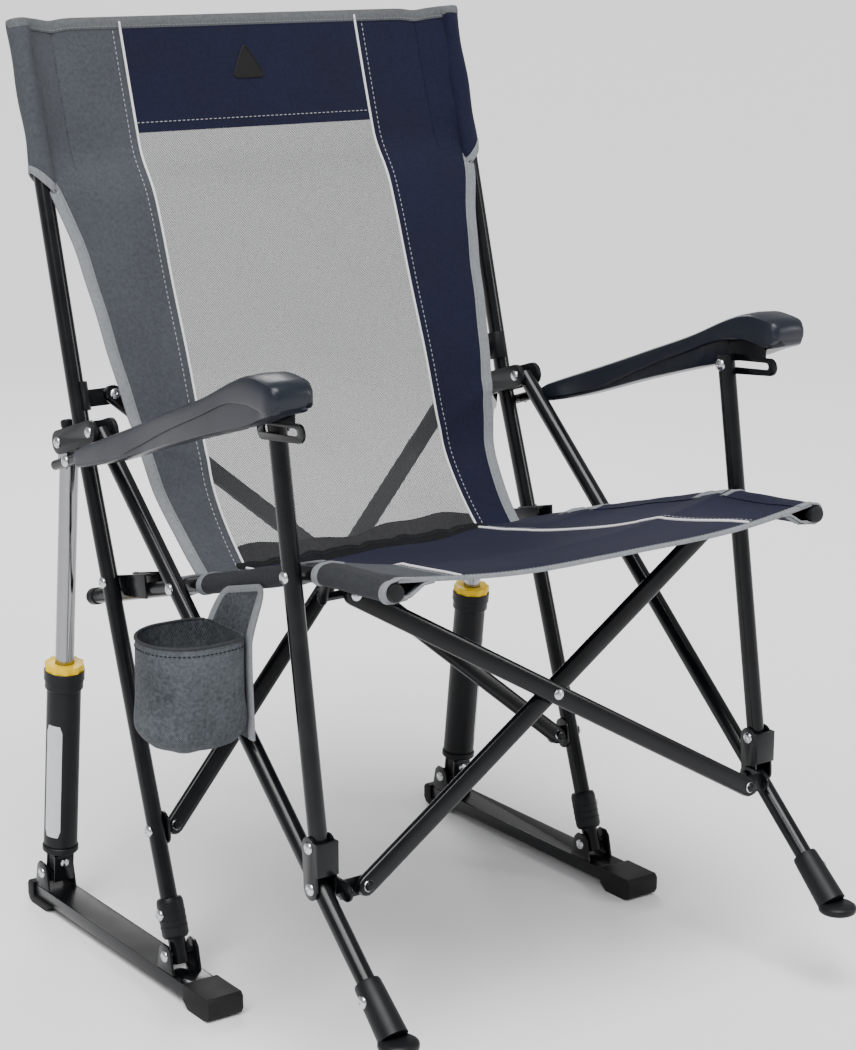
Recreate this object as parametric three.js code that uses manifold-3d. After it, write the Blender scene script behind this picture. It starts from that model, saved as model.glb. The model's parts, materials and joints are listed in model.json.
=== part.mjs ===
// Camp rocking chair: two mirrored side frames of round steel tube, each standing on its own
// ground rail, joined by a flat-bar X at the front and another at the back.
// Millimetres. +Z is up, the sitter faces -Y, the left side frame is at +X.
// Every side piece is drawn once for the left side and mirrored for the right.

import * as THREE from 'three';
import Module from 'manifold-3d';
import { mergeVertices } from 'three/addons/utils/BufferGeometryUtils.js';

const wasm = await Module();
wasm.setup();

// ---------------------------------------------------------------- driving dimensions

const GAP = 0.3;                    // gap between pieces that touch
const FRAME_X = 302;                // plane of the upright, front leg and arm post
const TUBE_R = 10;
const SEAT_RAIL_X = 279.5;          // plane of the seat rail
const SEAT_RAIL_R = 9;
const RIVET_R = 4;
const PIN_R = 3.5;
const PLATE = 2.7;                  // thickness of pressed steel brackets
const TUBE_SIDES = 12;              // flat sides that stand for a round tube

const RAIL = { width: 40, bottom: 10, top: 26, front: -102, rear: 326 };
const ROCK_PIVOT = [-6, 44];        // [y, z] where the upright meets the ground rail
const PISTON_PIVOT = [299, 46];     // [y, z] where the piston meets the ground rail

const LOWER_LEAN = 0.339;           // y per z of the upright below its bend
const UPPER_LEAN = 0.2765;          // y per z of the upright above its bend
const BEND_Z = 606;
const UPRIGHT_TOP_Z = 1064;

const LEG_LEAN = 1.1118;            // y per z of the front leg
const LEG_REF = [-392.1, 146];      // a point on the front leg's axis
const FOOT_SOLE_Z = 98;
const LINK_PIVOT = [-305.6, 223.8]; // rivet of the post bracket on the front leg
const POST_BASE = [-303, 268];
const POST_TOP = [-234, 695];
const BLOCK_FRONT = [143, 626];     // front leg's top rivet
const BLOCK_REAR = [221, 601];      // piston rod's top pin

const HANGER_PIVOT = [81, 449.4];   // seat rail's pin in its hanger
const SEAT_SLOPE = -0.279;          // z per y of the seat rail behind its bend
const SEAT_REAR_Y = 218;
const SEAT_BEND = [-270, 547.4];
const SEAT_FRONT = [-411, 557];

const FRONT_X = { lower: [-331, 223], upper: [-278, 520], lowerX: 259, upperX: 244 };
const REAR_X = { lower: [39.8, 179], upper: [188, 656], lowerX: 275, upperX: 264 };
const BAR = { width: 22, thick: 11, offset: 5.8 };
const FRONT_OPEN_GAP = 8.5;         // room behind a front bar's upper end for the fold
const REAR_OPEN_GAP = 5;            // room behind a rear bar's upper end for the fold

const PISTON_LEAN = THREE.MathUtils.degToRad(6.865);
const PISTON_OFFSET = 11.1;         // piston axis, measured forward from its pivot
const CYLINDER = { r: 20.5, bore: 17.6, bottom: 43, top: 262 };
const RING_TOP = 282;
const ROD = { r: 11.2, head: 150, shoulder: 540, pin: 560.3, eye: 10.8 };
const SPRING = { radius: 13.6, wire: 2.1, turns: 6, bottom: 48.8, top: 147 };

const ARM = { inner: 302, outer: 354, pad: 14, innerTaper: 11.5, outerTaper: 7 };
const ARM_BAR_X = 324.4;
const HOLDER = { x: 366.5, y: -150, r: 53, bottom: 350, rim: 468, wall: 2.6 };
const PANEL = 3;                    // thickness of the seat and back fabric

const uprightY = (z) => {
  const bend = ROCK_PIVOT[0] + LOWER_LEAN * (BEND_Z - ROCK_PIVOT[1]);
  return z < BEND_Z ? bend + LOWER_LEAN * (z - BEND_Z) : bend + UPPER_LEAN * (z - BEND_Z);
};
const legY = (z) => LEG_REF[0] + LEG_LEAN * (z - LEG_REF[1]);
const seatZ = (y) => HANGER_PIVOT[1] + SEAT_SLOPE * (y - HANGER_PIVOT[0]);

// ---------------------------------------------------------------- materials

const paint = (color, roughness, metalness) =>
  new THREE.MeshStandardMaterial({ color, roughness, metalness });

const STEEL_BLACK = paint(0x17181a, 0.35, 0.6);
const PLASTIC_BLACK = paint(0x1c1d1f, 0.6, 0);
const PLASTIC_SLATE = paint(0x4d5560, 0.5, 0);
const RUBBER = paint(0x151515, 0.85, 0);
const CHROME = paint(0xd8dadd, 0.12, 1);
const RIVET_STEEL = paint(0xb9bcc0, 0.3, 1);
const RING_YELLOW = paint(0xe0c020, 0.5, 0);
const SPRING_STEEL = paint(0x8a8d92, 0.4, 1);
const FABRIC_NAVY = paint(0x252c42, 0.9, 0);
const FABRIC_GREY = paint(0x6d7480, 0.9, 0);

// ---------------------------------------------------------------- shape helpers

// A point in a side frame: x outward, then a [y, z] pair.
const at = (x, [y, z]) => new THREE.Vector3(x, y, z);

function solid(geometry) {
  const bare = geometry.clone();
  bare.deleteAttribute('normal');
  bare.deleteAttribute('uv');
  const merged = mergeVertices(bare, 1e-4);
  return new wasm.Manifold(new wasm.Mesh({
    numProp: 3,
    vertProperties: new Float32Array(merged.attributes.position.array),
    triVerts: new Uint32Array(merged.index.array),
  }));
}

function surface(manifold) {
  const mesh = manifold.getMesh();
  const geometry = new THREE.BufferGeometry();
  geometry.setAttribute('position', new THREE.BufferAttribute(mesh.vertProperties, 3));
  geometry.setIndex(new THREE.BufferAttribute(mesh.triVerts, 1));
  return geometry;
}

const join = (first, ...rest) =>
  surface(rest.reduce((sum, piece) => sum.add(solid(piece)), solid(first)));

const cut = (body, ...tools) =>
  surface(tools.reduce((sum, tool) => sum.subtract(solid(tool)), solid(body)));

// Moves a shape drawn in local axes so that its x and z axes point along xDir and zDir.
function placed(geometry, origin, xDir, zDir) {
  const x = xDir.clone().normalize();
  const z = zDir.clone().normalize();
  const y = z.clone().cross(x);
  const matrix = new THREE.Matrix4().makeBasis(x, y, z).setPosition(origin);
  return geometry.applyMatrix4(matrix);
}

const rod = (a, b, r, sides = TUBE_SIDES) => turned([[0, r], [a.distanceTo(b), r]], a, b, sides);

// A turned shape on the line from a towards b. The profile lists [distance, radius] pairs.
function turned(profile, a, b, sides = 20) {
  const points = profile.map(([h, r]) => new THREE.Vector2(r, h));
  points.unshift(new THREE.Vector2(0, profile[0][0]));
  points.push(new THREE.Vector2(0, profile[profile.length - 1][0]));
  const geometry = new THREE.LatheGeometry(points, sides);
  const turn = new THREE.Quaternion().setFromUnitVectors(
    new THREE.Vector3(0, 1, 0), b.clone().sub(a).normalize());
  return geometry.applyQuaternion(turn).translate(a.x, a.y, a.z);
}

// A path of straight lines through the points, with a mitre at each corner.
class Route extends THREE.Curve {
  constructor(points) {
    super();
    this.points = points;
  }

  getPointAt(t) {
    return this.points[Math.round(t * (this.points.length - 1))].clone();
  }

  getTangentAt(t) {
    const i = Math.round(t * (this.points.length - 1));
    const leg = (j) => this.points[j + 1].clone().sub(this.points[j]).normalize();
    const arriving = leg(Math.max(i - 1, 0));
    const leaving = leg(Math.min(i, this.points.length - 2));
    return arriving.add(leaving).normalize();
  }
}

// A round outline with flat sides.
function polygon(r, sides) {
  const corner = (i) => new THREE.Vector2(
    r * Math.cos((2 * Math.PI * i) / sides), r * Math.sin((2 * Math.PI * i) / sides));
  return new THREE.Shape(Array.from({ length: sides }, (_, i) => corner(i)));
}

// A round bar along a route.
function bentRod(points, r, sides = TUBE_SIDES) {
  return new THREE.ExtrudeGeometry(polygon(r, sides), {
    steps: points.length - 1, bevelEnabled: false, extrudePath: new Route(points),
  });
}

// A flat outline in the [y, z] plane, thickened from x0 out to x1.
function plate(outline, x0, x1) {
  const shape = outline instanceof THREE.Shape
    ? outline : new THREE.Shape(outline.map(([y, z]) => new THREE.Vector2(y, z)));
  const geometry = new THREE.ExtrudeGeometry(
    shape, { depth: x1 - x0, bevelEnabled: false, curveSegments: 5 });
  return placed(geometry, new THREE.Vector3(x0, 0, 0),
    new THREE.Vector3(0, 1, 0), new THREE.Vector3(1, 0, 0));
}

// The outline of a link: a half circle round each end, joined by straight sides.
function link(a, b, r) {
  const along = Math.atan2(b[1] - a[1], b[0] - a[0]);
  const shape = new THREE.Shape();
  shape.absarc(a[0], a[1], r, along + Math.PI / 2, along + (3 * Math.PI) / 2, false);
  shape.absarc(b[0], b[1], r, along - Math.PI / 2, along + Math.PI / 2, false);
  shape.closePath();
  return shape;
}

function block(x0, x1, y0, y1, z0, z1) {
  return new THREE.BoxGeometry(x1 - x0, y1 - y0, z1 - z0)
    .translate((x0 + x1) / 2, (y0 + y1) / 2, (z0 + z1) / 2);
}

// A pin along x, centred on a [y, z] point.
const pin = (yz, x0, x1, r, sides = 8) => rod(at(x0, yz), at(x1, yz), r, sides);

// A low dome on the outside of a tube, pointing along +x or -x, sunk a little into it.
function rivetHead(yz, x, direction) {
  const base = at(x - direction * 0.8, yz);
  return turned([[0, 6], [3, 3.8]], base, base.clone().setX(base.x + direction), 8);
}

function mirrored(geometry) {
  const copy = geometry.index ? geometry.clone() : mergeVertices(geometry, 1e-4);
  copy.scale(-1, 1, 1);
  const index = copy.index.array;
  for (let i = 0; i < index.length; i += 3) [index[i], index[i + 1]] = [index[i + 1], index[i]];
  return copy;
}

// ---------------------------------------------------------------- tubes of a side frame

const HEAD_X = FRAME_X + TUBE_R;    // outer face of a frame tube

const onUpright = (z) => at(FRAME_X, [uprightY(z), z]);
const uprightPoints = (from, to) => [from, BEND_Z, to].map(onUpright);

function upright() {
  const tube = bentRod(uprightPoints(ROCK_PIVOT[1] - 11, UPRIGHT_TOP_Z), TUBE_R);
  const hanger = [uprightY(452), 452];
  const brace = [uprightY(REAR_X.lower[1]), REAR_X.lower[1]];
  const hole = pin(ROCK_PIVOT, FRAME_X - 20, FRAME_X + 20, RIVET_R + 0.6);
  return join(cut(tube, hole), rivetHead(hanger, HEAD_X, 1), rivetHead(brace, HEAD_X, 1));
}

function frontLeg() {
  const bottom = FOOT_SOLE_Z + 14;
  const tube = rod(at(FRAME_X, [legY(bottom), bottom]), at(FRAME_X, BLOCK_FRONT), TUBE_R);
  const seatRivet = [legY(479), 479];
  const spacer = pin(seatRivet, SEAT_RAIL_X + SEAT_RAIL_R + GAP, FRAME_X, PIN_R);
  const hole = pin(LINK_PIVOT, FRAME_X - 20, FRAME_X + 20, PIN_R + 0.6);
  const topHole = pin(BLOCK_FRONT, FRAME_X - 20, FRAME_X + 20, PIN_R + 0.6);
  return join(cut(tube, hole, topHole), spacer, rivetHead(seatRivet, HEAD_X, 1));
}

function armPost() {
  const along = (z) => [POST_BASE[0] + (z - POST_BASE[1]) * (POST_TOP[0] - POST_BASE[0])
    / (POST_TOP[1] - POST_BASE[1]), z];
  const tube = rod(at(FRAME_X, along(POST_BASE[1] - 9)), at(FRAME_X, along(POST_TOP[1] + 11)), TUBE_R);
  const seatRivet = along(544);
  const spacer = pin(seatRivet, SEAT_RAIL_X + SEAT_RAIL_R + GAP, FRAME_X, PIN_R);
  const slotPin = pin(POST_TOP, FRAME_X, HEAD_X + 4.6, PIN_R);
  const hole = pin(POST_BASE, FRAME_X - 20, FRAME_X + 20, PIN_R + 0.6);
  return join(cut(tube, hole), spacer, slotPin, rivetHead(seatRivet, HEAD_X, 1),
    rivetHead(POST_TOP, FRAME_X - TUBE_R, -1));
}

function seatRail() {
  const rear = [SEAT_REAR_Y, seatZ(SEAT_REAR_Y)];
  const bendFrom = [SEAT_BEND[0] + 22, seatZ(SEAT_BEND[0] + 22)];
  const slope = (SEAT_FRONT[1] - SEAT_BEND[1]) / (SEAT_FRONT[0] - SEAT_BEND[0]);
  const bendTo = [SEAT_BEND[0] - 22, SEAT_BEND[1] - 22 * slope];
  const route = [rear, bendFrom, bendTo, SEAT_FRONT];
  const tube = bentRod(route.map((point) => at(SEAT_RAIL_X, point)), SEAT_RAIL_R);
  const cap = turned([[-2, 6], [0, 10], [13, 10]], at(SEAT_RAIL_X, rear), at(SEAT_RAIL_X, bendFrom), 14);
  const hole = pin(HANGER_PIVOT, SEAT_RAIL_X - 20, SEAT_RAIL_X + 20, PIN_R + 0.6);
  return join(cut(tube, hole), cap);
}

// ---------------------------------------------------------------- brackets of a side frame

// The hanger wraps over the seat rail, in front of the upright, and carries the rail's pin.
function seatHanger() {
  const inner = SEAT_RAIL_X - SEAT_RAIL_R - 0.4;
  const outer = SEAT_RAIL_X + SEAT_RAIL_R + 0.4;
  const rise = 17;
  const outline = [[68, seatZ(68) - 9], [118, seatZ(118) - 2], [136, 448],
    [138, seatZ(138) + rise + 6], [70, seatZ(70) + rise + 3]];
  const web = [[79, seatZ(79) + rise], [136, seatZ(136) + rise],
    [136, seatZ(136) + rise + PLATE], [79, seatZ(79) + rise + PLATE]];
  const stud = [uprightY(452), 452];
  return join(
    plate(outline, outer, FRAME_X - TUBE_R - GAP),
    plate(outline, inner - PLATE, inner),
    plate(web, inner - 1, outer + 1),
    pin(HANGER_PIVOT, inner - 1, outer + 1, PIN_R),
    rivetHead(HANGER_PIVOT, inner - PLATE, -1),
    rivetHead(stud, inner - PLATE, -1),
  );
}

function postBracket() {
  const inner = FRAME_X - TUBE_R - 0.4;
  const outer = FRAME_X + TUBE_R + 0.4;
  const cheek = link(LINK_PIVOT, POST_BASE, 12);
  const web = [[POST_BASE[0] - 17, 240], [POST_BASE[0] - 13.5, 240],
    [POST_BASE[0] - 13.5, POST_BASE[1] + 8], [POST_BASE[0] - 17, POST_BASE[1] + 8]];
  const tab = [[POST_BASE[0] - 17, 240], [POST_BASE[0] - 9, 240],
    [POST_BASE[0] - 9, POST_BASE[1] + 8], [POST_BASE[0] - 17, POST_BASE[1] + 8]];
  return join(
    plate(cheek, inner - PLATE, inner),
    plate(cheek, outer, outer + PLATE),
    plate(tab, inner - PLATE, inner),
    plate(tab, outer, outer + PLATE),
    plate(web, inner - 1, outer + 1),
    pin(LINK_PIVOT, FRAME_X - TUBE_R - 10, outer + 1, PIN_R),
    pin(LINK_PIVOT, FRAME_X - TUBE_R - 10.5, FRAME_X - TUBE_R - 7.5, 6),
    pin(POST_BASE, inner - 1, outer + 1, PIN_R),
    rivetHead(LINK_PIVOT, outer + PLATE, 1),
    rivetHead(POST_BASE, outer + PLATE, 1),
    rivetHead(POST_BASE, inner - PLATE, -1),
  );
}

// The plastic block that joins upright, front leg and piston rod.
function upperBlock() {
  const body = plate(link(BLOCK_FRONT, BLOCK_REAR, 14), FRAME_X - 16, FRAME_X + 16);
  const knob = turned([[0, 6], [6, 7.5], [11, 7.5], [13, 5.5]],
    at(FRAME_X, [224, 613]), at(FRAME_X, [228, 626]), 10);
  const slotIn = FRAME_X - TUBE_R - GAP;
  const slotOut = FRAME_X + TUBE_R + GAP;
  const frontSlot = block(slotIn, slotOut, BLOCK_FRONT[0] - 20, BLOCK_FRONT[0] + 19, 590, 660);
  const rearSlot = block(slotIn, slotOut, BLOCK_REAR[0] - 14, BLOCK_REAR[0] + 30, 570, 613);
  const bore = bentRod(uprightPoints(BEND_Z - 90, BEND_Z + 90), TUBE_R + 0.4);
  const pins = [BLOCK_FRONT, BLOCK_REAR].map((yz) => pin(yz, slotIn - 1, slotOut + 1, PIN_R));
  return join(
    cut(join(body, knob), frontSlot, rearSlot, bore),
    ...pins,
    rivetHead(BLOCK_FRONT, FRAME_X + 16, 1),
    rivetHead(BLOCK_REAR, FRAME_X + 16, 1),
    rivetHead(BLOCK_FRONT, FRAME_X - 16, -1),
    rivetHead(BLOCK_REAR, FRAME_X - 16, -1),
  );
}

// ---------------------------------------------------------------- armrest

const ARM_TOP = [[119, 616], [8, 656], [-81, 688], [-164, 718], [-228, 745], [-262, 756],
  [-290, 756], [-304, 748]];
const ARM_BOTTOM = [[-303, 736], [-287, 721], [-253, 704], [-184, 684], [-70, 650], [54, 610],
  [130, 592]];

function armrest() {
  const below = ARM_TOP.map(([y, z]) => [Math.max(y, -300), z - ARM.pad]).reverse();
  const pad = plate([...ARM_TOP, ...below], ARM.inner, ARM.outer);
  const flange = plate([...ARM_TOP.map(([y, z]) => [y, z - 6]), ...ARM_BOTTOM],
    ARM.inner + 16, ARM.outer);
  const body = join(pad, flange);
  const position = body.attributes.position;
  for (let i = 0; i < position.count; i += 1) {
    const taper = THREE.MathUtils.smoothstep(position.getY(i), -170, 8);
    const inner = ARM.inner + ARM.innerTaper * taper;
    const outer = ARM.outer - ARM.outerTaper * taper;
    const share = (position.getX(i) - ARM.inner) / (ARM.outer - ARM.inner);
    position.setX(i, inner + share * (outer - inner));
  }
  const socket = rod(armBarEnd(1), at(ARM_BAR_X, [60, 626.2]), 6 + GAP, 12);
  return cut(body, socket);
}

const ARM_BAR_PIN = [uprightY(588), 588];
const ARM_BAR_SLOPE = 0.3236;
const armBarPoint = (y) => at(ARM_BAR_X, [y, ARM_BAR_PIN[1] - ARM_BAR_SLOPE * (y - ARM_BAR_PIN[0])]);
const armBarEnd = (side) => armBarPoint(side > 0 ? 150 : 215);

function armrestBar() {
  return join(
    rod(armBarEnd(-1), armBarPoint(62), 6, 12),
    pin(ARM_BAR_PIN, HEAD_X + GAP, ARM_BAR_X, 5),
    rivetHead(ARM_BAR_PIN, ARM_BAR_X + 6, 1),
  );
}

// A strip with a slot, screwed under the armrest, in which the arm post's top pin slides.
function slotBracket() {
  const inner = HEAD_X + 0.4;
  const strip = plate(link([-294, 699], [-226, 692], 10), inner, inner + PLATE);
  const riser = plate([[-285, 700], [-225, 695], [-225, 728], [-285, 740]], inner, inner + PLATE);
  const slot = plate(link([-288, 699], [-232, 694.5], PIN_R + 0.5), inner - 5, inner + 9);
  return cut(join(strip, riser), slot);
}

// ---------------------------------------------------------------- ground rail and its ends

function groundRail() {
  const half = RAIL.width / 2;
  const bar = block(FRAME_X - half, FRAME_X + half, RAIL.front, RAIL.rear, RAIL.bottom, RAIL.top);
  const earOutline = (pivot) => [[pivot[0] - 18, RAIL.top - 1], [pivot[0] + 18, RAIL.top - 1],
    [pivot[0] + 12, pivot[1] + 8], [pivot[0] + 6, pivot[1] + 14],
    [pivot[0] - 6, pivot[1] + 14], [pivot[0] - 12, pivot[1] + 8]];
  const ears = [ROCK_PIVOT, PISTON_PIVOT].flatMap((pivot) => [
    plate(earOutline(pivot), FRAME_X - 19, FRAME_X - 19 + PLATE),
    plate(earOutline(pivot), FRAME_X + 19 - PLATE, FRAME_X + 19),
    pin(pivot, FRAME_X - 18, FRAME_X + 18, RIVET_R),
    rivetHead(pivot, FRAME_X + 19, 1),
    rivetHead(pivot, FRAME_X - 19, -1),
  ]);
  return join(bar, ...ears);
}

// A rubber cap over one end of the rail, with the pad that stands on the floor.
function railCap(end, inward, cover) {
  const reach = (distance) => end + inward * distance;
  const outline = [[reach(-7), 9], [reach(-3), 2.5], [reach(5), 0], [reach(40), 0],
    [reach(52), RAIL.bottom - GAP], [reach(cover), RAIL.bottom - GAP], [reach(cover), RAIL.top + 2.4],
    [reach(-3), RAIL.top + 2.4], [reach(-7), RAIL.top - 2]];
  if (inward < 0) outline.reverse();
  const half = RAIL.width / 2;
  const cap = plate(outline, FRAME_X - half - 2.5, FRAME_X + half + 2.5);
  const room = [reach(-GAP), reach(60)].sort((a, b) => a - b);
  const pocket = block(FRAME_X - half - GAP, FRAME_X + half + GAP, room[0], room[1],
    RAIL.bottom - GAP, RAIL.top + GAP);
  return cut(cap, pocket);
}

// A sleeve round the upright's foot, just above the rocking pivot.
function legSocket() {
  const body = turned([[0, 13.6], [4, 15.5], [43, 15.5], [47, 13.6]],
    onUpright(61), onUpright(106), 14);
  const rivet = [uprightY(88), 88];
  const bore = rod(onUpright(40), onUpright(130), TUBE_R + 0.5);
  return join(cut(body, bore), rivetHead(rivet, FRAME_X + 15.5, 1));
}

// A tapered boot on the front leg, with a level round sole.
function frontFoot() {
  const sole = [legY(FOOT_SOLE_Z), FOOT_SOLE_Z];
  const centre = at(FRAME_X, sole);
  const flange = turned([[0, 20], [2, 21.5], [7, 21.5], [10, 17]], centre,
    centre.clone().setZ(FOOT_SOLE_Z + 10), 16);
  const top = at(FRAME_X, [legY(FOOT_SOLE_Z + 56), FOOT_SOLE_Z + 56]);
  const start = at(FRAME_X, [legY(FOOT_SOLE_Z + 10), FOOT_SOLE_Z + 10]);
  const boot = turned([[0, 16.5], [50, 15], [64, 14]], start, top, 14);
  const bottom = FOOT_SOLE_Z + 13.6;
  const bore = rod(at(FRAME_X, [legY(bottom), bottom]), at(FRAME_X, BLOCK_FRONT), TUBE_R + GAP);
  const rivet = [legY(136), 136];
  return join(cut(join(flange, boot), bore), rivetHead(rivet, FRAME_X + 15, 1));
}

// ---------------------------------------------------------------- rocking piston

const PISTON_UP = [-Math.sin(PISTON_LEAN), Math.cos(PISTON_LEAN)];
const PISTON_FOOT = [PISTON_PIVOT[0] - PISTON_OFFSET * PISTON_UP[1],
  PISTON_PIVOT[1] + PISTON_OFFSET * PISTON_UP[0]];

// A point h up the piston's axis and d to its rear.
const piston = (h, d = 0) => [PISTON_FOOT[0] + h * PISTON_UP[0] + d * PISTON_UP[1],
  PISTON_FOOT[1] + h * PISTON_UP[1] - d * PISTON_UP[0]];
const onPiston = (profile, sides) =>
  turned(profile, at(FRAME_X, piston(0)), at(FRAME_X, piston(1)), sides);
const pistonBox = (h0, h1, d0, d1, x0, x1) =>
  plate([piston(h0, d1), piston(h1, d1), piston(h1, d0), piston(h0, d0)].reverse(), x0, x1);

function pistonLug() {
  const barrel = pin(PISTON_PIVOT, FRAME_X - 15.5, FRAME_X + 15.5, 9, 12);
  const foot = pistonBox(-5, 5, -11, 8, FRAME_X - 13, FRAME_X + 13);
  const front = pistonBox(-5, 30, -11, -8, FRAME_X - 13, FRAME_X + 13);
  const rear = pistonBox(-5, 30, 8, 11, FRAME_X - 13, FRAME_X + 13);
  const rivet = rod(at(FRAME_X, piston(20, -13)), at(FRAME_X, piston(20, 13)), PIN_R, 8);
  const hole = pin(PISTON_PIVOT, FRAME_X - 30, FRAME_X + 30, RIVET_R + 0.6);
  return cut(join(barrel, foot, front, rear, rivet), hole);
}

function pistonBase() {
  const tongue = pistonBox(9, 36, -7.6, 7.6, FRAME_X - 12, FRAME_X + 12);
  const collar = onPiston([[33, 18], [35, 22], [40, 22], [42.5, 20]], 18);
  const hole = rod(at(FRAME_X, piston(20, -15)), at(FRAME_X, piston(20, 15)), PIN_R + 0.6, 8);
  return cut(join(tongue, collar), hole);
}

function pistonCylinder() {
  const { r, bore, bottom, top } = CYLINDER;
  const outside = onPiston([[bottom, r], [top - 12, r], [top - 10, 23], [top, 23]], 18);
  const inside = onPiston([[bottom + 3, bore], [top + 1, bore]], 18);
  return cut(outside, inside);
}

// A ring with notches to turn it by, through which the rod slides.
function cylinderRing() {
  const notches = 10;
  const shape = new THREE.Shape();
  for (let i = 0; i < notches * 4; i += 1) {
    const angle = (Math.PI * 2 * i) / (notches * 4);
    const r = i % 4 < 2 ? 23.5 : 21.8;
    if (i === 0) shape.moveTo(r, 0);
    else shape.lineTo(r * Math.cos(angle), r * Math.sin(angle));
  }
  const height = RING_TOP - CYLINDER.top - GAP;
  const body = new THREE.ExtrudeGeometry(shape, { depth: height, bevelEnabled: false });
  const up = new THREE.Vector3(0, PISTON_UP[0], PISTON_UP[1]);
  const ring = placed(body, at(FRAME_X, piston(CYLINDER.top + GAP)), new THREE.Vector3(1, 0, 0), up);
  return cut(ring, onPiston([[CYLINDER.top - 5, ROD.r + 0.4], [RING_TOP + 5, ROD.r + 0.4]], 20));
}

function pistonRod() {
  const shaft = onPiston([[ROD.head, 17], [ROD.head + 8, 17], [ROD.head + 8.1, ROD.r],
    [ROD.shoulder - 2, ROD.r], [ROD.shoulder, ROD.r - 2]], 20);
  const neck = plate(link(piston(ROD.shoulder - 4), piston(ROD.pin), ROD.eye), FRAME_X - 9, FRAME_X + 9);
  const hole = pin(BLOCK_REAR, FRAME_X - 20, FRAME_X + 20, PIN_R + 3, 14);
  return cut(join(shaft, neck), hole);
}

function rockerSpring() {
  const { radius, wire, turns, bottom, top } = SPRING;
  class Helix extends THREE.Curve {
    getPoint(t) {
      const angle = Math.PI * 2 * turns * t;
      return new THREE.Vector3(radius * Math.cos(angle), radius * Math.sin(angle),
        bottom + (top - bottom) * t);
    }
  }
  const coil = new THREE.ExtrudeGeometry(polygon(wire, 5), {
    steps: turns * 9, bevelEnabled: false, extrudePath: new Helix(),
  });
  const up = new THREE.Vector3(0, PISTON_UP[0], PISTON_UP[1]);
  return placed(coil, at(FRAME_X, piston(0)), new THREE.Vector3(1, 0, 0), up);
}

// ---------------------------------------------------------------- front and rear X

// The plane of an X: u runs up it and n points out of its front.
function planeOf(cross) {
  const u = at(0, cross.upper).sub(at(0, cross.lower)).normalize();
  return { u, n: new THREE.Vector3(0, -u.z, u.y) };
}

// A point in the plane of an X, moved by a distance along its normal.
const inPlane = (cross, x, yz, offset) => at(x, yz).addScaledVector(planeOf(cross).n, offset);

// One flat bar, from its lower pivot on one side to its upper end on the other.
// The lower end has a hole for its pin. The upper end carries its own rivet heads.
function braceBar(cross, lowerSide, offset) {
  const { n } = planeOf(cross);
  const lower = inPlane(cross, lowerSide * cross.lowerX, cross.lower, offset);
  const upper = inPlane(cross, -lowerSide * cross.upperX, cross.upper, offset);
  const length = lower.distanceTo(upper);
  const round = 2.5;
  const outline = link([0, 0], [length, 0], BAR.width / 2 - round);
  const flat = new THREE.ExtrudeGeometry(outline, {
    depth: BAR.thick - 2 * round, bevelThickness: round, bevelSize: round, bevelSegments: 1,
    curveSegments: 5,
  }).translate(0, 0, round - BAR.thick / 2);
  const bar = placed(flat, lower, upper.clone().sub(lower), n);
  const face = (point, side, r, height) => {
    const base = point.clone().addScaledVector(n, side * (BAR.thick / 2 - 0.5));
    return turned([[0, r], [height, r * 0.7]], base, base.clone().addScaledVector(n, side), 8);
  };
  const hole = rod(lower.clone().addScaledVector(n, -20), lower.clone().addScaledVector(n, 20),
    RIVET_R + 0.6, 8);
  return cut(join(bar, face(upper, 1, 6, 3), face(upper, -1, 6, 2.5)), hole);
}

function centreRivet(cross) {
  const { n } = planeOf(cross);
  const share = cross.lowerX / (cross.lowerX + cross.upperX);
  const yz = [0, 1].map((i) => cross.lower[i] + share * (cross.upper[i] - cross.lower[i]));
  const base = inPlane(cross, 0, yz, BAR.offset + BAR.thick / 2 + GAP);
  return turned([[0, 6.5], [1.6, 6], [3.2, 3.6]], base, base.clone().add(n), 10);
}

// The tab behind a bar's lower end, with the pin that the bar turns on.
function lowerTab(cross, outerX, offset) {
  const { n } = planeOf(cross);
  const behind = offset - BAR.thick / 2 - 0.5 - PLATE;
  const tab = new THREE.ExtrudeGeometry(link([0, 0], [outerX - cross.lowerX, 0], 10),
    { depth: PLATE, bevelEnabled: false, curveSegments: 4 });
  placed(tab, inPlane(cross, cross.lowerX, cross.lower, behind), new THREE.Vector3(1, 0, 0), n);
  const base = inPlane(cross, cross.lowerX, cross.lower, behind + 1);
  const front = BAR.thick + 1 + PLATE;
  const stud = turned([[0, RIVET_R], [front, RIVET_R], [front, 6], [front + 2.6, 4]],
    base, base.clone().add(n), 8);
  const trim = block(outerX, outerX + 40, -500, 500, 0, 900);
  return cut(join(tab, stud), trim);
}

// The front link turns on the post bracket's rivet and carries a front bar's lower end.
function frontLink(offset) {
  const face = FRAME_X - TUBE_R - 3.8;
  const cheek = plate(link(LINK_PIVOT, FRONT_X.lower, 10.5), face - PLATE, face);
  const hole = pin(LINK_PIVOT, face - 10, face + 10, PIN_R + 0.6);
  return join(cut(cheek, hole), lowerTab(FRONT_X, face - 1, offset));
}

function rearLink(offset) {
  const face = FRAME_X - TUBE_R - GAP;
  const root = [uprightY(REAR_X.lower[1]), REAR_X.lower[1]];
  const cheek = plate(link([root[0], root[1] - 8], [root[0] + 3, root[1] + 8], 11), face - PLATE, face);
  return join(cheek, lowerTab(REAR_X, face - 1, offset));
}

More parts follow.
